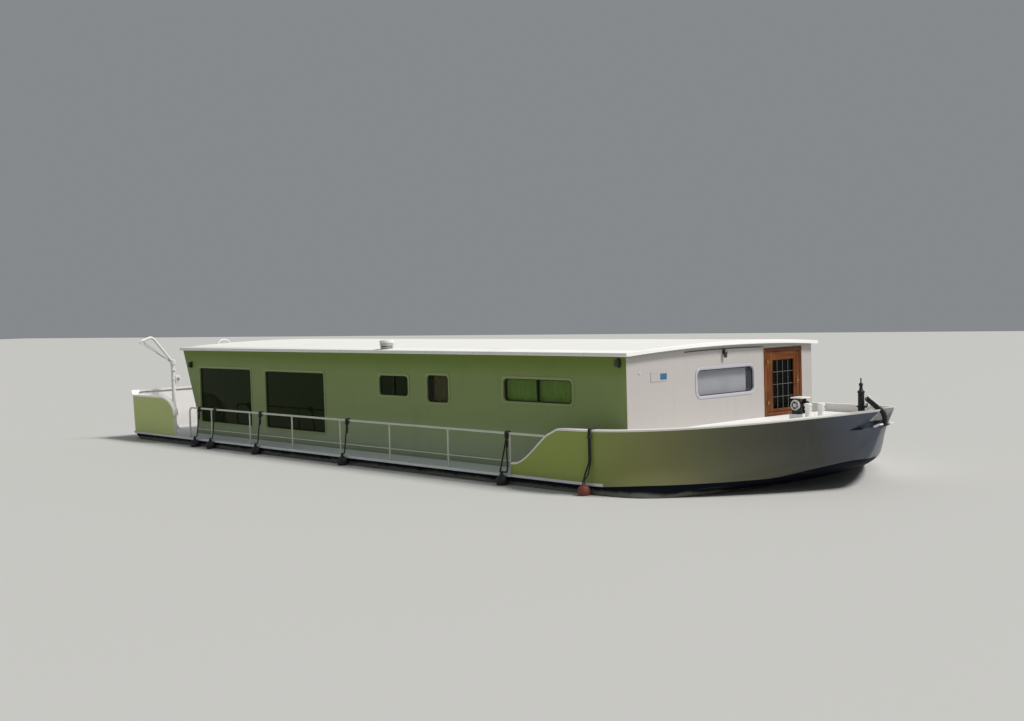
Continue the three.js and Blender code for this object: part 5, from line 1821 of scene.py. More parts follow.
@dataclass
class Door:
    """A varnished door in its frame, with glass, hinges and a lever."""

    name: str
    place: Place
    body: Body
    left: float
    right: float
    sill: float
    head: float
    frame: float
    stile: float
    bottom_rail: float
    columns: int
    rows: int
    bead: float = 0.0
    leaf: float = 0.045
    running: float = 0.006
    hinge_out: float = 0.0185

    def build(self) -> None:
        """Makes the frame, the leaf and the fittings."""
        self.surround()
        self.panel()
        self.fittings()

    def bounds(self) -> tuple[float, float, float, float]:
        """The leaf's edges: u0, v0, u1 and v1."""
        return (self.left + self.frame + self.running, self.sill + self.frame + self.running,
                self.right - self.frame - self.running - 0.002, self.head - self.frame - self.running)

    def board(self, mould: Mould, box: tuple[float, float, float, float], w: Flat, finish: Finish,
              edge: float = 0.003) -> None:
        """Adds one board that lies on the wall's plane."""
        u0, v0, u1, v1 = box
        a, b = self.place(u0, v0, w[0]), self.place(u1, v1, w[1])
        mould.block([min(p) for p in zip(a, b)], [max(p) for p in zip(a, b)], finish, edge)

    def surround(self) -> None:
        """The door frame: two posts, a head and a sill."""
        mould = Mould()
        u0, u1 = self.left + GAP, self.right - GAP
        v0, v1 = self.sill + GAP, self.head - GAP
        w = (-WALL - 0.005, 0.010)
        self.board(mould, (u0, v0, u0 + self.frame, v1), w, WOOD_UP)
        self.board(mould, (u1 - self.frame, v0, u1, v1), w, WOOD_UP)
        self.board(mould, (u0 + self.frame, v1 - self.frame, u1 - self.frame, v1), w, WOOD_ACROSS)
        self.board(mould, (u0 + self.frame, v0, u1 - self.frame, v0 + self.frame), w, WOOD_ACROSS)
        mould.piece(f"{self.name}_surround", Slot.WOOD, stands_for=(f"{self.name}_frame",))

    def panel(self) -> None:
        """The leaf: stiles, rails, glazing bars and the beads round the glass."""
        u0, v0, u1, v1 = self.bounds()
        back, front = 0.005 - self.leaf, 0.005
        side = self.stile + self.bead
        glass = (u0 + side, v0 + self.bottom_rail, u1 - side, v1 - self.stile)
        mould = Mould()
        self.board(mould, (u0, v0, glass[0], v1), (back, front), WOOD_UP)
        self.board(mould, (glass[2], v0, u1, v1), (back, front), WOOD_UP)
        self.board(mould, (glass[0], glass[3], glass[2], v1), (back, front), WOOD_ACROSS)
        self.board(mould, (glass[0], v0, glass[2], glass[1]), (back, front), WOOD_ACROSS)
        if self.bottom_rail > 0.3:
            self.board(mould, (glass[0] + 0.05, v0 + 0.12, glass[2] - 0.05, glass[1] - 0.10),
                       (front - 0.002, front + 0.006), WOOD_UP, 0.004)

        def outline(inset: float) -> list[Flat]:
            """The glass's outline at an inset."""
            a, b, c, d = glass
            return rounded(a + inset, b + inset, c - inset, d - inset, 0.003, 1)

        mould.border(outline, self.place, ((-0.004, front - 0.001), (-0.004, front + 0.005),
                                           (0.004, front + 0.004), (0.012, front - 0.006),
                                           (0.012, front - 0.012), (-0.004, front - 0.012)), WOOD_UP)
        for u in spread(glass[0], glass[2], self.columns)[1:-1]:
            self.board(mould, (u - 0.003, glass[1], u + 0.003, glass[3]), (front - 0.0215, front - 0.010),
                       LEAD, 0.001)
        for v in spread(glass[1], glass[3], self.rows)[1:-1]:
            self.board(mould, (glass[0], v - 0.003, glass[2], v + 0.003), (front - 0.0215, front - 0.011),
                       LEAD, 0.001)
        mould.piece(f"{self.name}_panel", Slot.WOOD, self.body, (f"{self.name}_leaf",))

    def fittings(self) -> None:
        """The hinges, the lever and its plate."""
        u0, v0, u1, v1 = self.bounds()
        front = 0.005
        mould = Mould()
        for v in (v0 + 0.15, v1 - 0.15):
            pin = self.place(u0 - self.running, v, self.hinge_out)
            for low, high in ((-0.035, -0.013), (-0.012, 0.012), (0.013, 0.035)):
                mould.turned([(0, low), (0.0072, low), (0.0078, low + 0.001), (0.0078, high - 0.001),
                              (0.0072, high), (0, high)], BRONZE, pin, sides=16)
            self.board(mould, (u0 - 0.001, v - 0.020, u0 + 0.058, v + 0.020),
                       (front - 0.001, front + 0.004), BRONZE, 0.001)
            self.board(mould, (u0 - 0.002, v - 0.018, u0 + 0.006, v + 0.018),
                       (front + 0.002, self.hinge_out), BRONZE, 0.001)
        grip = v0 + (v1 - v0) * 0.5
        self.board(mould, (u1 - 0.068, grip - 0.058, u1 - 0.037, grip + 0.058),
                   (front - 0.001, front + 0.005), BRONZE, 0.002)
        neck = [self.place(u1 - 0.053, grip, front + 0.002), self.place(u1 - 0.053, grip, front + 0.045),
                self.place(u1 - 0.145, grip, front + 0.045)]
        mould.tube(bent_route(neck, 0.02), 0.0068, BRONZE, 12)
        mould.piece(f"{self.name}_fittings", Slot.WOOD, self.body)
        spots = [self.place(u, v + dv, front + 0.004) for v in (v0 + 0.15, v1 - 0.15)
                 for u in (u0 + 0.025, u0 + 0.048) for dv in (-0.012, 0.012)]
        spots += [self.place(u1 - 0.053, grip + dv, front + 0.005) for dv in (-0.046, 0.046)]
        Studs(0.0036, 0.0014, BRONZE, 10).build(
            f"{self.name}_screws", spots, [wall_normal(self.place)] * len(spots), Slot.WOOD, self.body)


# Deck gear


@dataclass
class Railing:
    """A tube railing on one side deck, with posts on flanges."""

    name: str
    side: float
    height: float = RAIL_TOP
    aft: float = -5.98
    fore: float = 4.47
    tube: float = 0.017
    post: float = 0.014
    low_rail: Flat = (0.345, 0.0075)
    bend: float = 0.115
    deck: float = DECK_TOP
    posts: tuple[float, ...] = (-5.1, -3.65, -2.18, -0.66, 0.76, 2.28, 3.73)

    def build(self) -> None:
        """Makes the railing and its bolts."""
        y, z = self.side * RAIL_Y, self.height
        mould = Mould()
        route = bent_route([(self.aft, y, self.deck + 0.004), (self.aft, y, z), (self.fore, y, z)],
                           self.bend, 12)
        mould.tube(route, self.tube, GREY_STEEL, 18)
        low, wire = self.low_rail
        mould.tube([Vector((x, y, low)) for x in (self.aft, *self.posts)], wire, GREY_STEEL, 12)
        for x in self.posts:
            mould.turned([(self.post, -0.016), (0.0175, -0.010), (0.0175, 0.010), (self.post, 0.016)],
                         GREY_STEEL, (x, y, low), sides=16)
            mould.tube([Vector((x, y, self.deck + 0.006)), Vector((x, y, z - 0.004))], self.post,
                       GREY_STEEL, 14)
            mould.turned([(0.0145, -0.022), (0.018, -0.014), (0.0145, -0.006)], GREY_STEEL,
                         (x, y, z - 0.012), sides=16)
        for x in (self.aft, *self.posts):
            mould.turned([(0, GAP), (0.0355, GAP), (0.0355, 0.006), (0.033, 0.008), (0.021, 0.009),
                          (0.0155, 0.018), (0, 0.018)], GREY_STEEL, (x, y, self.deck), sides=28)
        mould.turned([(0, 0), (0.017, 0), (0.015, 0.004), (0, 0.005)], GREY_STEEL,
                     (self.fore - 0.005, y, z), X_AXIS, 18)
        mould.piece(f"railing_{self.name}_tubes", Slot.STEEL, stands_for=(f"railing_{self.name}",))
        spots = [Vector((x, y, self.deck + 0.0085)) + out * 0.027
                 for x in (self.aft, *self.posts) for out in compass(4, math.pi / 4)]
        Studs(0.0045, 0.003, GALVANISED, 8).build(f"railing_{self.name}_bolts", spots,
                                                  [Z_AXIS] * len(spots), Slot.STEEL)


@dataclass
class Fender:
    """A ball fender on a rope, tied over the railing or hung over the fore cap."""

    name: str
    x: float
    on_rail: bool
    ball: Finish
    form: HullForm
    radius: float = 0.09
    rope: float = 0.0135
    centre_z: float = 0.06
    legs: bool = False

    def build(self) -> None:
        """Makes the ball with its eye, the knots, and the rope that carries it."""
        out = -HALF_BEAM - self.radius - 0.004
        mould = Mould()
        profile = [(self.radius * math.sin(a), -self.radius * math.cos(a))
                   for a in spread(0, math.pi * 0.86, 20)]
        profile[0] = (0.0, -self.radius)
        profile += [(0.040, self.radius * 0.93), (0.030, self.radius * 1.02), (0.028, self.radius * 1.16),
                    (0.018, self.radius * 1.22), (0.0, self.radius * 1.22)]
        mould.turned(profile, self.ball, (self.x, out, self.centre_z), sides=40)
        eye_z = self.centre_z + self.radius * 1.2
        mould.hoop((self.x, out, eye_z), 0.019, 0.006, X_AXIS, self.ball, 18, 8)
        mould.piece(f"{self.name}_ball", Slot.ROPE, stands_for=(self.name,))
        knots = Mould()
        routes = self.rail_rope(knots, out, eye_z) if self.on_rail else self.cap_rope(knots, out, eye_z)
        knots.hoop((self.x, out, eye_z + 0.014), 0.020, self.rope * 0.8, Y_AXIS, ROPE_BLACK, 20, 8)
        tied = knots.piece(f"{self.name}_knots", Slot.ROPE, stands_for=(self.name,), crisp=0)
        for k, route in enumerate(routes):
            rope = Mould()
            rope.twist(route, self.rope, ROPE_BLACK)
            piece = rope.piece(f"{self.name}_rope_{k + 1}", Slot.ROPE, stands_for=(self.name,), crisp=0)
            length = sum((b - a).length for a, b in zip(route, route[1:]))
            tuple(route[0])
            [tuple(p) for p in route]

    def rail_rope(self, rope: Mould, out: float, eye_z: float) -> list[list[Vector]]:
        """Turns round the rail, the knot below it and its tail.

        Args:
            rope: Mould that takes the knots.
            out: Place of the ball across the boat.
            eye_z: Height of the ball's eye.

        Returns:
            The route of each rope, from the knot to the ball's eye.
        """
        y, z = -RAIL_Y, RAIL_TOP
        clear = 0.017 + self.rope
        for k, shift in enumerate((-0.026, 0.0, 0.026)):
            rope.hoop((self.x + shift, y, z), clear, self.rope * 0.95, X_AXIS + Y_AXIS * 0.12 * (k - 1),
                      ROPE_BLACK, 22, 8)
        knot_y, knot_z = y - clear - 0.004, z - 0.060
        rope.ball((self.x, knot_y, knot_z), 0.024, ROPE_BLACK, 14)
        for shift, tilt in ((-0.012, 0.5), (0.013, -0.6)):
            rope.hoop((self.x + shift, knot_y, knot_z + 0.006), 0.020, self.rope * 0.85,
                      Vector((1, tilt, 0.4)), ROPE_BLACK, 18, 8)
        edge = -HALF_BEAM - 0.025 - self.rope - 0.006
        routes = [smooth_route([(self.x, knot_y, knot_z), (self.x + shift * 0.5, knot_y - 0.03, z - 0.30),
                                (self.x + shift, edge, 0.215), (self.x + shift * 0.3, out, eye_z + 0.030)],
                               0.012) for shift in ((-0.075, 0.075) if self.legs else (0.0,))]
        tail = smooth_route([(self.x + 0.012, knot_y, knot_z - 0.01),
                             (self.x + 0.035, knot_y - 0.006, z - 0.14),
                             (self.x + 0.028, knot_y - 0.010, z - 0.21)], 0.012)
        rope.twist(tail, self.rope * 0.85, ROPE_BLACK)
        return routes

    def cap_rope(self, rope: Mould, out: float, eye_z: float) -> list[list[Vector]]:
        """Two ropes side by side over the fore cap, and the turn that holds them together.

        Args:
            rope: Mould that takes the turn.
            out: Place of the ball across the boat.
            eye_z: Height of the ball's eye.

        Returns:
            The route of each rope, from inside the cap to the ball's eye.
        """
        z = self.form.cap_z(self.x)
        plan = self.form.plan_at(z, 0)
        side = next(b[1] + (a[1] - b[1]) * (b[0] - self.x) / (b[0] - a[0])
                    for a, b in zip(plan, plan[1:]) if b[0] > self.x)
        routes = []
        for shift in (-0.014, 0.014):
            x = self.x + shift
            main = bent_route([
                (x, side + 0.085 + 0.020, z - 0.085), (x, side + 0.085 + 0.020, z + 0.014),
                (x, side - 0.015 - 0.021, z + 0.014), (self.x + shift * 0.8, side - 0.040, z - 0.45),
                (self.x + shift * 2.2, (side - 0.040 + out) / 2, 0.29),
                (self.x + shift * 0.3, out, eye_z + 0.03),
            ], 0.03, 6)
            dense = [p for a, b in zip(main, main[1:])
                     for p in (a.lerp(b, t) for t in spread(0, 1, max(1, int((b - a).length / 0.014)))[:-1])]
            routes.append([*dense, main[-1]])
        rope.hoop((self.x, side - 0.040, z - 0.10), 0.026, self.rope * 0.85, Z_AXIS, ROPE_BLACK, 20, 8)
        return routes


@dataclass
class Davit:
    """The davit on the aft deck: its post with a winch, and the jib that slews."""

    x: float = -8.06
    y: float = -1.97
    deck: float = DECK_TOP
    top: float = 1.56
    radius: float = 0.042

    def build(self) -> None:
        """Makes the post and the jib."""
        self.post()
        self.jib()

    def post(self) -> None:
        """The post on its bolted foot, with the hand winch."""
        mould = Mould()
        r, h = self.radius, self.top - self.deck
        mould.turned([(0, GAP), (0.110, GAP), (0.110, 0.012), (0.106, 0.016), (r + 0.02, 0.017),
                      (r + 0.004, 0.05), (r, 0.06), (r, h - 0.03), (r + 0.006, h - 0.028),
                      (r + 0.006, h - 0.004), (r + 0.002, h), (0, h)], WHITE_METAL,
                     (self.x, self.y, self.deck), sides=36)
        for out in compass(4):
            across = Vector((-out.y, out.x, 0)) * 0.004
            foot = Vector((self.x, self.y, self.deck + 0.014))
            corners = [foot + out * r * 0.98, foot + out * 0.098, foot + out * 0.095 + Z_AXIS * 0.008,
                       foot + out * r * 0.98 + Z_AXIS * 0.10]
            mould.rings([[c - across for c in corners], [c + across for c in corners]], WHITE_METAL,
                        smooth=False)
        mould.block((self.x - 0.058, self.y + 0.03, 1.152), (self.x + 0.058, self.y + 0.138, 1.328),
                    BULWARK_WHITE, 0.012)
        mould.turned([(0, 0), (0.046, 0), (0.046, 0.006), (0.040, 0.010), (0, 0.011)], GALVANISED,
                     (self.x + 0.048, self.y + 0.085, 1.24), X_AXIS, 28)
        crank = bent_route([(self.x - 0.05, self.y + 0.085, 1.24), (self.x - 0.105, self.y + 0.085, 1.24)],
                           0.01)
        mould.tube(crank, 0.0105, GALVANISED, 12)
        mould.turned([(0, 0), (0.015, 0), (0.018, 0.006), (0.015, 0.012), (0, 0.012)], BLACK_IRON,
                     (self.x - 0.11, self.y + 0.085, 1.234), Z_AXIS, 16)
        mould.turned([(0.043, -0.016), (0.050, -0.012), (0.050, 0.012), (0.043, 0.016)], WHITE_METAL,
                     (self.x, self.y, 1.24), sides=32)
        cleat = [(self.x + 0.056, self.y - 0.045, 1.44), (self.x + 0.056, self.y + 0.045, 1.44)]
        mould.tube([Vector(p) for p in cleat], 0.009, WHITE_METAL, 10)
        mould.tube([Vector((self.x + 0.030, self.y, 1.44)), Vector((self.x + 0.056, self.y, 1.44))], 0.010,
                   WHITE_METAL, 10)
        mould.piece("davit_post_and_winch", Slot.WHITE, stands_for=("davit_post",))
        spots = [Vector((self.x, self.y, self.deck + 0.016)) + out * 0.088
                 for out in compass(4, math.pi / 4)]
        Studs(0.010, 0.007, GALVANISED, 6).build("davit_foot_bolts", spots, [Z_AXIS] * 4, Slot.WHITE)

    def jib(self) -> None:
        """The jib: head, arm, strut, sheave, wire and hook."""
        x, y, top = self.x, self.y, self.top
        mould = Mould()
        mould.turned([(0, GAP), (0.050, GAP), (0.058, 0.008), (0.058, 0.10), (0.050, 0.108), (0.02, 0.110),
                      (0, 0.110)], WHITE_METAL, (x, y, top), sides=32)
        arm = bent_route([(x, y - 0.01, top + 0.06), (x, y - 0.43, 2.14), (x, y - 0.50, 2.172),
                          (x, y - 0.72, 2.095)], 0.09, 8)
        mould.tube(arm, 0.0295, WHITE_METAL, 20)
        low, knee = Vector((x, y - 0.04, top + 0.03)), Vector((x, y - 0.13, 1.69))
        high, tip = Vector((x, y - 0.64, 2.01)), Vector((x, y - 0.66, 2.10))
        mould.tube(bent_route([low, knee, knee.lerp(high, 0.42)], 0.04), 0.0118, WHITE_METAL, 14)
        mould.tube([knee.lerp(high, 0.10), knee.lerp(high, 0.45)], 0.0185, GALVANISED, 18)
        mould.tube(bent_route([knee.lerp(high, 0.4), high, tip], 0.03), 0.009, GALVANISED, 14)
        sheave = Vector((x, y - 0.715, 2.075))
        for side in (-1, 1):
            mould.turned([(0, 0), (0.040, 0), (0.044, 0.002), (0.040, 0.004), (0, 0.004)], WHITE_METAL,
                         sheave + X_AXIS * (side * 0.0135 - 0.002), X_AXIS, 28)
        mould.turned([(0, -0.010), (0.036, -0.010), (0.030, -0.003), (0.030, 0.003), (0.036, 0.010),
                      (0, 0.010)], BLACK_IRON, sheave, X_AXIS, 28)
        mould.piece("davit_jib_arm", Slot.WHITE, Body.DAVIT, ("davit_jib",))
        wire = Mould()
        start = Vector((x + 0.012, y - 0.075, top + 0.085))
        wire.tube([start, sheave + Vector((0.0, 0.020, 0.028))], 0.0032, BLACK_IRON, 8)
        wire.piece("davit_wire", Slot.IRON, Body.DAVIT)


@dataclass
class Windlass:
    """The anchor windlass on the foredeck."""

    x: float = 6.64
    y: float = 0.47
    bed: float = 0.93
    axis: float = 1.065
    deck: float = 0.846

    def build(self) -> None:
        """Makes the frame and the turning parts."""
        self.frame()
        self.turning()

    def frame(self) -> None:
        """The bed, two cast cheeks and the pale cover."""
        x, y = self.x, self.y
        mould = Mould()
        mould.block((x - 0.119, y - 0.124, self.deck - 0.008), (x + 0.119, y + 0.124, self.bed),
                    CAP_WHITE, 0.006)
        for side in (-1, 1):
            at = y + side * 0.09
            outline = [(x - 0.088, self.bed - 0.004), (x + 0.088, self.bed - 0.004),
                       (x + 0.074, self.axis - 0.03)]
            outline += [(x + 0.056 * math.cos(a), self.axis + 0.044 * math.sin(a))
                        for a in spread(0.0, 0.9, 5)]
            outline += [(x + 0.030, self.axis + 0.096), (x - 0.030, self.axis + 0.096)]
            outline += [(x - 0.056 * math.cos(a), self.axis + 0.044 * math.sin(a))
                        for a in spread(0.9, 0.0, 5)]
            outline += [(x - 0.074, self.axis - 0.03)]
            rings = [[Vector((u, at + w, v)) for u, v in outline] for w in (-0.0115, 0.0115)]
            mould.rings(rings, BLACK_IRON, smooth=False)
            mould.turned([(0.0195, -0.017), (0.034, -0.017), (0.034, 0.017), (0.0195, 0.017)], BLACK_IRON,
                         (x, at, self.axis), Y_AXIS, 24)
        mould.block((x - 0.104, y - 0.111, self.axis + 0.095), (x + 0.104, y + 0.111, self.axis + 0.1145),
                    CAP_WHITE, 0.006)
        mould.tube([Vector((x - 0.075, y + side * 0.085, self.axis + 0.03)) for side in (-1, 1)],
                   0.009, BLACK_IRON, 12)
        mould.piece("windlass_cheeks", Slot.IRON, stands_for=("windlass_frame",))
        spots = [Vector((x + sx * 0.104, y + sy * 0.108, self.bed)) for sx in (-1, 1) for sy in (-1, 1)]
        Studs(0.011, 0.008, BLACK_IRON, 6).build("windlass_bolts", spots, [Z_AXIS] * 4, Slot.IRON)

    def turning(self) -> None:
        """The shaft with its gear wheel, chain drum and warping end."""
        x, y, z = self.x, self.y, self.axis
        at = Vector((x, y, z))
        mould = Mould()
        mould.turned([(0, -0.155), (0.018, -0.155), (0.018, 0.160), (0, 0.160)], GALVANISED, at, Y_AXIS, 24)
        teeth = 26
        outer, inner = [], []
        for i, out in enumerate(compass(teeth * 4, upright=False)):
            outer.append(at + out * (0.0775 if i % 4 in (1, 2) else 0.0705))
            inner.append(at + out * 0.058)
        rings = [[p + Y_AXIS * w for p in ring]
                 for ring, w in ((outer, -0.148), (outer, -0.118), (inner, -0.118), (inner, -0.148))]
        mould.rings(rings, GALVANISED, True, smooth=False)
        mould.turned([(0.0185, -0.150), (0.030, -0.150), (0.030, -0.115), (0.0185, -0.115)], GALVANISED, at,
                     Y_AXIS, 24)
        for out in compass(5, upright=False):
            mould.tube([at + out * 0.024 - Y_AXIS * 0.133, at + out * 0.062 - Y_AXIS * 0.133], 0.008,
                       GALVANISED, 8)
        mould.turned([(0.0185, -0.052), (0.042, -0.050), (0.042, -0.038), (0.030, -0.022), (0.028, 0.0),
                      (0.030, 0.022), (0.042, 0.038), (0.042, 0.050), (0.0185, 0.052)],
                     BLACK_IRON, at, Y_AXIS, 32)
        for out in compass(8, upright=False):
            mould.tube([at + out * 0.033 - Y_AXIS * 0.030, at + out * 0.033 + Y_AXIS * 0.030], 0.0055,
                       BLACK_IRON, 8)
        mould.turned([(0.0185, 0.112), (0.047, 0.113), (0.048, 0.120), (0.034, 0.130), (0.033, 0.142),
                      (0.047, 0.153), (0.046, 0.160), (0.0185, 0.160)], BLACK_IRON, at, Y_AXIS, 32)
        mould.piece("windlass_shaft", Slot.IRON, Body.WINDLASS, ("windlass_drum",))


@dataclass
class Bitts:
    """The double bollard and the post at the stem head."""

    posts: tuple[Flat, ...] = ((6.87, 0.33), (7.0, 0.465))
    post_x: float = 7.98

    def build(self) -> None:
        """Makes both."""
        self.bollard()
        self.bow_post()

    def bollard(self) -> None:
        """Two capped posts on one plate."""
        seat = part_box("double_bollard")[1].z - 0.240
        mould = Mould()
        (ax, ay), (bx, by) = self.posts
        f = 0.074
        outline = [(ax - f, ay - f), (ax + f, ay - f), (bx + f, by - f), (bx + f, by + f), (bx - f, by + f),
                   (ax - f, ay + f)]
        mould.rings([[Vector((u, v, z)) for u, v in outline] for z in (seat - 0.012, seat + 0.0135)],
                    BULWARK_WHITE, smooth=False)
        for x, y in self.posts:
            mould.turned([(0, 0), (0.056, 0.012), (0.050, 0.022), (0.0455, 0.034), (0.0455, 0.185),
                          (0.050, 0.195), (0.060, 0.204), (0.0615, 0.214), (0.058, 0.226), (0.030, 0.237),
                          (0, 0.2395)], WHITE_METAL, (x, y, seat), sides=36)
            mould.tube([Vector((x - 0.060, y, seat + 0.150)), Vector((x + 0.060, y, seat + 0.150))], 0.010,
                       WHITE_METAL, 12)
        mould.piece("bollard_posts", Slot.WHITE, stands_for=("double_bollard",))
        spots = [Vector((x, y, seat + 0.0135)) for x, y in
                 ((ax - 0.055, ay - 0.055), (ax + 0.05, ay - 0.055), (bx + 0.055, by + 0.055),
                  (bx - 0.05, by + 0.055), (ax - 0.055, ay + 0.05), (bx + 0.055, by - 0.05))]
        Studs(0.009, 0.006, WHITE_METAL, 8).build("bollard_bolts", spots, [Z_AXIS] * 6, Slot.WHITE)

    def bow_post(self) -> None:
        """The dark post with its collar, knob and short pin."""
        x = self.post_x
        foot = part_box("bow_post")[1].z - 0.500
        top = foot + 0.382
        mould = Mould()
        mould.turned([(0, -0.004), (0.077, -0.004), (0.077, 0.010), (0.070, 0.016), (0.053, 0.021),
                      (0.0490, 0.034), (0.0420, 0.340), (0.046, 0.346), (0.050, 0.352), (0.051, 0.360),
                      (0.050, 0.370), (0.036, 0.380), (0.027, 0.392), (0.021, 0.420), (0.025, 0.436),
                      (0, 0.440)], BLACK_IRON, (x, 0, foot), sides=40)
        mould.ball((x, 0, top + 0.080), 0.0295, BLACK_IRON, 28)
        mould.turned([(0.009, 0.085), (0.009, 0.155), (0.012, 0.159), (0.012, 0.167), (0, 0.169)],
                     BLACK_IRON, (x, 0, top), sides=16)
        pin = top - 0.060
        mould.tube([Vector((x, -0.066, pin)), Vector((x, 0.066, pin))], 0.011, BLACK_IRON, 16)
        mould.piece("bow_post_turned", Slot.IRON, stands_for=("bow_post",))
        spots = [Vector((x, 0, foot + 0.014)) + out * 0.064 for out in compass(4, math.pi / 4)]
        Studs(0.007, 0.006, BLACK_IRON, 8).build("bow_post_bolts", spots, [Z_AXIS] * 4, Slot.IRON)


@dataclass
class Anchor:
    """The anchor in the stem head's slot, its roller and its chain."""

    roller: tuple[float, float, float] = (8.190, 1.062, 0.038)
    shank_end: float = 8.070
    bend: float = 8.268
    shank: float = 0.034
    tilt: float = 35.0
    claw: Flat = (8.330, 0.886)
    claw_half: float = 0.165
    palm_y: float = 0.125
    half_width: float = 0.17
    post: Flat = (7.98, 0.048)
    loop_z: float = 1.12

    def shank_z(self, x: float) -> float:
        """Height of the shank's middle at a station."""
        rx, rz, radius = self.roller
        tilt = math.radians(self.tilt)
        return rz + (radius + self.shank) / math.cos(tilt) - (x - rx) * math.tan(tilt)

    def build(self) -> None:
        """Makes the roller, the anchor and the chain."""
        self.make_roller()
        self.make_anchor()
        self.make_chain()

    def make_roller(self) -> None:
        """The roller with its groove for the chain."""
        x, z, r = self.roller
        h = self.half_width - GAP
        mould = Mould()
        mould.turned([(0, -h), (0.012, -h), (0.012, -h + 0.010), (r, -h + 0.011), (r, -0.060),
                      (r - 0.003, -0.05), (r - 0.004, 0.0), (r - 0.003, 0.05), (r, 0.060), (r, h - 0.011),
                      (0.012, h - 0.010), (0.012, h), (0, h)], GALVANISED, (x, 0, z), Y_AXIS, 40)
        mould.piece("bow_roller_turned", Slot.STEEL, stands_for=("bow_roller",))

    def make_anchor(self) -> None:
        """The shank, which bends down to the claw, a pale strip along the shank's top that is a painted
        highlight, and the claw's two palms.
        """
        mould = Mould()
        claw_x, claw_z = self.claw
        bend_z = self.shank_z(self.bend)
        route = smooth_route([
            (self.shank_end, 0, self.shank_z(self.shank_end)),
            (self.roller[0], 0, self.shank_z(self.roller[0])),
            (self.bend, 0, bend_z), (self.bend + 0.052, 0, bend_z - 0.042),
            (self.bend + 0.076, 0, claw_z + 0.09), (self.bend + 0.072, 0, claw_z + 0.04),
            (claw_x, 0, claw_z)], 0.012)
        rings = []
        for here, (side, up), t in zip(route, frames_along(route), spread(0, 1, len(route) - 1)):
            high, wide = self.shank - 0.002 * t, 0.0165 + 0.006 * t
            rings.append([here + side * u + up * v for u, v in rounded(-wide, -high, wide, high, 0.007, 3)])
        mould.rings(rings, BLACK_IRON)
        # A pale strip along the top of the shank: a painted highlight where the sun catches it
        bar = [p + Z_AXIS * 0.052 for p in route if p.x < self.bend + 0.02 and p.z > claw_z + 0.1]
        mould.tube(bar, 0.012, WHITE_METAL, 10)
        arms = [Vector((claw_x, y, claw_z + 0.012 * (y / self.claw_half) ** 2))
                for y in spread(-self.claw_half, self.claw_half, 20)]
        mould.tube(arms, [0.013 + 0.010 * math.cos(p.y / self.claw_half * 1.5) for p in arms], BLACK_IRON, 16)
        outline = [(-0.070, -0.020), (-0.060, -0.046), (0.010, -0.056), (0.046, -0.044), (0.062, 0.0),
                   (0.046, 0.044), (0.010, 0.056), (-0.060, 0.046), (-0.070, 0.020)]
        slope = math.radians(19)
        along = Vector((math.cos(slope), 0, math.sin(slope)))
        up = Vector((-math.sin(slope), 0, math.cos(slope)))
        layers = ((-0.012, 0.9), (-0.008, 1.0), (0.006, 1.0), (0.011, 0.86))
        for side in (-1, 1):
            centre = Vector((claw_x, side * self.palm_y, claw_z + 0.002))
            rings = [[centre + along * u * share + Y_AXIS * v * share + up * (w + 0.004 * (v / 0.043) ** 2)
                      for u, v in outline] for w, share in layers]
            mould.rings(rings, WHITE_METAL, smooth=False)
        mould.piece("anchor_forged", Slot.STEEL, stands_for=("anchor_chain",))

    def make_chain(self) -> None:
        """The shackle, and the chain that loops round the post."""
        end = self.shank_z(self.shank_end)
        mould = Mould()
        mould.hoop((self.shank_end - 0.004, 0, end - 0.004), 0.021, 0.007, Y_AXIS, BLACK_IRON, 24, 8)
        mould.hoop((self.shank_end - 0.004, 0, self.loop_z + 0.026), 0.0205, 0.007, X_AXIS, BLACK_IRON, 24, 8)
        mould.piece("anchor_shackle", Slot.IRON)
        x, radius = self.post
        out = radius + 0.0125
        route = [Vector((x + 0.006 + out * math.cos(a), out * math.sin(a), self.loop_z - 0.006 * math.cos(a)))
                 for a in spread(-math.pi, math.pi, 60)]
        ChainLinks(0.0052, 0.0125, 0.0200, BLACK_IRON).build(
            "anchor_chain_links", route, Slot.IRON, Body.BOAT, ("anchor_chain",))


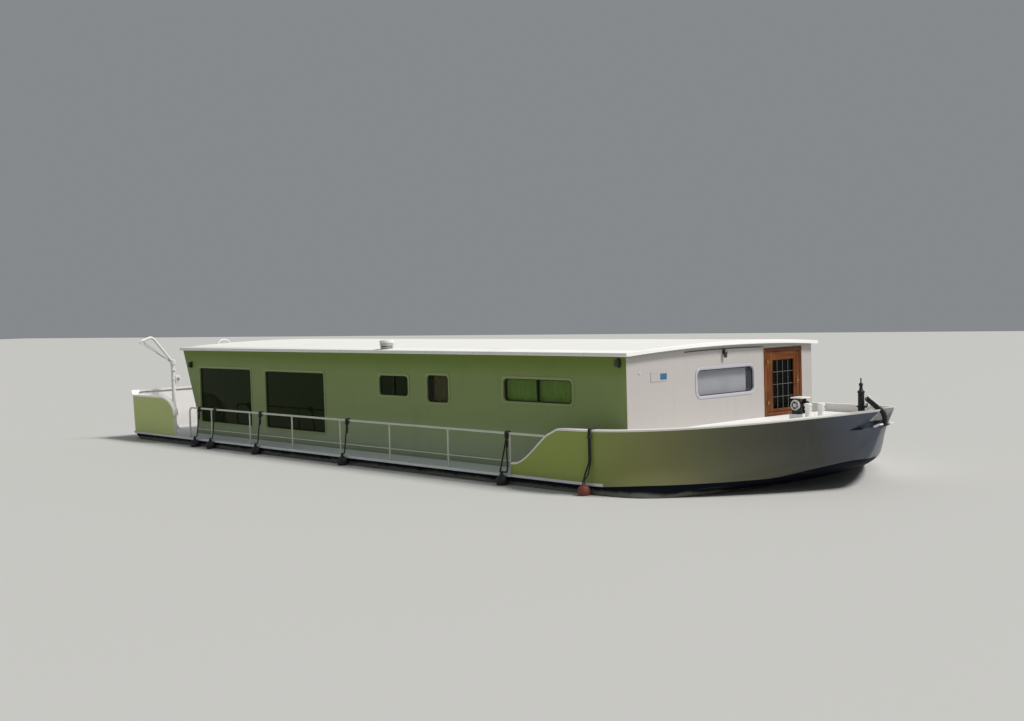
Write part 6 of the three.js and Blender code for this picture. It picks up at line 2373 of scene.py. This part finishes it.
@dataclass
class SternGear:
    """The rudder and the propeller under the stern."""

    rudder_x: float = -7.8
    heel: float = -0.84
    screw_x: float = -7.35
    screw_z: float = -0.565

    def build(self) -> None:
        """Makes both."""
        self.rudder()
        self.propeller()

    def rudder(self) -> None:
        """A hollow-ground blade on its stock."""
        x, low, high = self.rudder_x, self.heel + 0.055, -0.24
        section = []
        for t in spread(0, 1, 18):
            chord = t * t * (3 - 2 * t)
            half = 0.026 * math.sin(math.pi * min(1, (chord * 0.98 + 0.01) ** 0.62)) + 0.0035 * chord
            section.append((x + 0.13 - 0.51 * chord, half))
        outline = [*section, *((u, -v) for u, v in reversed(section[1:-1]))]
        rings = []
        for z, inset in ((low, 0.010), (low + 0.012, 0.0), (high - 0.012, 0.0), (high, 0.010)):
            rings.append([Vector((x + (u - x) * (1 - inset / 0.3), v * (1 - inset * 20), z))
                          for u, v in outline])
        mould = Mould()
        mould.rings(rings, NAVY)
        mould.turned([(0, high - 0.02), (0.030, high - 0.02), (0.030, -0.0005), (0, -0.0005)], NAVY,
                     (x, 0, 0), sides=28)
        mould.piece("rudder_blade", Slot.BOTTOM, Body.STEERING, ("rudder",))

    def propeller(self) -> None:
        """Four twisted blades on a hub."""
        at = Vector((self.screw_x, 0, self.screw_z))
        mould = Mould()
        mould.turned([(0, -0.0695), (0.016, -0.068), (0.030, -0.058), (0.042, -0.036), (0.048, -0.01),
                      (0.048, 0.05), (0.044, 0.0695), (0.0245, 0.0695), (0.0245, 0.398), (0, 0.398)],
                     BRONZE, at, X_AXIS, 36)
        for i in range(4):
            turn = Matrix.Rotation(math.pi / 2 * i, 3, "X")
            rings = []
            for radius in (0.030, 0.05, 0.08, 0.11, 0.14, 0.165, 0.185, 0.195, 0.1985):
                share = radius / 0.2
                wide = 0.062 * math.sin(math.pi * min(share * 0.86 + 0.10, 0.985)) ** 0.6
                pitch = math.radians(62 - 40 * share)
                thick = 0.006 * (1.15 - share)
                ring = []
                for k in range(16):
                    a = 2 * math.pi * k / 16
                    chord, off = wide * math.cos(a), thick * math.sin(a)
                    local = Vector((chord * math.sin(pitch) + off * math.cos(pitch),
                                    chord * math.cos(pitch) - off * math.sin(pitch), 0))
                    sweep = (local.y + 0.02 * share * share) / radius
                    ring.append(at + turn @ Vector((local.x, radius * math.sin(sweep),
                                                    radius * math.cos(sweep))))
                rings.append(ring)
            mould.rings(rings, BRONZE)
        mould.piece("propeller_cast", Slot.BRONZE, Body.SCREW, ("propeller",))


# The studio


@dataclass
class Studio:
    """The floor at the waterline, the lights and the camera."""

    form: HullForm
    eye: tuple[float, float, float] = (18.1566, -15.6618, 2.6692)
    yaw: float = 0.8362
    pitch: float = 0.0429
    roll: float = -0.0283
    focal: float = 1311.4
    frame_width: float = 1024.0
    reach: float = 160.0
    key_turn: float = 34.0
    key_height: float = 52.0
    key_power: float = 3.2
    key_spread: float = 16.0
    surround: float = 0.30
    sensor: float = 36.0

    def build(self) -> None:
        """Makes the floor, lights and camera."""
        self.floor()
        self.lights()
        self.camera()

    def floor(self) -> None:
        """A pale floor with a hole for the hull to float in."""
        inner = self.form.ring(0.0, 0.004)
        mould = Mould()
        count = len(inner)
        mesh = mould.mesh
        number = mould.number_of(Moulded("pale_floor", (0.56, 0.56, 0.54), 0.7, (0.53, 0.53, 0.51)))
        rows = []
        for share in (0.0, 0.004, 0.02, 0.1, 0.35, 1.0):
            row = []
            for p in inner:
                away = Vector((p.x, p.y, 0)).normalized() * self.reach
                row.append(mesh.verts.new(Vector((p.x, p.y, 0)).lerp(away, share)))
            rows.append(row)
        for a, b in zip(rows, rows[1:]):
            for i in range(count):
                n = (i + 1) % count
                face = mesh.faces.new((a[i], a[n], b[n], b[i]))
                face.material_index = number
        for face in mesh.faces:
            face.normal_update()
            if face.normal.z < 0:
                face.normal_flip()
        data = bpy.data.meshes.new("studio_floor")
        mesh.to_mesh(data)
        mesh.free()
        data.materials.append(mould.finishes[0])
        linked("studio_floor", data)

    def lights(self) -> None:
        """A high soft key light from ahead and to port, and a pale surround."""
        world = bpy.data.worlds.new("studio")
        world.use_nodes = True
        shade = world.node_tree.nodes["Background"]
        shade.inputs[0].default_value = (0.80, 0.84, 0.88, 1)
        shade.inputs[1].default_value = self.surround
        bpy.context.scene.world = world
        bpy.context.scene.view_settings.view_transform = "Standard"
        data = bpy.data.lights.new("key", "SUN")
        data.energy = self.key_power
        data.angle = math.radians(self.key_spread)
        data.color = (1.0, 0.975, 0.94)
        light = linked("key", data)
        across, high = math.radians(self.key_turn), math.radians(self.key_height)
        towards = Vector((math.cos(high) * math.cos(across), math.cos(high) * math.sin(across),
                          math.sin(high)))
        light.location = towards * 30
        light.rotation_euler = towards.to_track_quat("Z", "Y").to_euler()

    def camera(self) -> None:
        """The camera at the photograph's place."""
        ahead = Vector((-math.sin(self.yaw) * math.cos(self.pitch), math.cos(self.yaw) * math.cos(self.pitch),
                        -math.sin(self.pitch)))
        level = Vector((math.cos(self.yaw), math.sin(self.yaw), 0))
        up = level.cross(ahead)
        c, s = math.cos(self.roll), math.sin(self.roll)
        right, top = c * level + s * up, -s * level + c * up
        data = bpy.data.cameras.new("photo_camera")
        data.sensor_width = self.sensor
        data.lens = self.sensor * self.focal / self.frame_width
        data.clip_end = 500.0
        camera = linked("photo_camera", data)
        turn = Matrix((right, top, -ahead)).transposed().to_4x4()
        camera.matrix_world = Matrix.Translation(self.eye) @ turn
        bpy.context.scene.camera = camera


def main() -> None:
    """Builds the boat's looks in order."""
    logging.basicConfig(level=logging.INFO, format="%(name)s %(message)s")
    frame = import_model()
    nodes = frame["nodes"]
    form = HullForm()
    Studio(form).build()
    HullShell(form).build()
    Roof().build()
    for node, finish in NODE_FINISHES.items():
        paint_node(nodes[node], finish)
    # The cabin's outer starboard faces take the painted-shade copy of the wall paint
    for node in ("cabin_front", "cabin_aft", "cabin_side_starboard"):
        paint_node(nodes[node], END_WALL, SHADED_WALL)
    Cabin().build()
    Door("front_door", on_front, Body.FRONT_DOOR, left=0.94, right=1.92, sill=0.80, head=1.87, frame=0.06,
         stile=0.12, bottom_rail=0.03, columns=4, rows=4, bead=0.022).build()
    Door("aft_door", on_aft, Body.AFT_DOOR, left=-1.20, right=-0.30, sill=0.19, head=1.85, frame=0.05,
         stile=0.13, bottom_rail=0.70, columns=1, rows=1).build()
    for name, side in (("starboard", -1.0), ("port", 1.0)):
        Railing(name, side).build()
    for number, x in enumerate((-5.54, -4.92, -3.23, -0.41, 3.69), 1):
        Fender(f"fender_{number}", x, True, BALL_DARK, form, legs=number == 5).build()
    Fender("fender_6", 5.40, False, BALL_RED, form).build()
    Davit().build()
    Windlass().build()
    Bitts().build()
    Anchor().build()
    SternGear().build()
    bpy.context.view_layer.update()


if __name__ == "__main__":
    main()
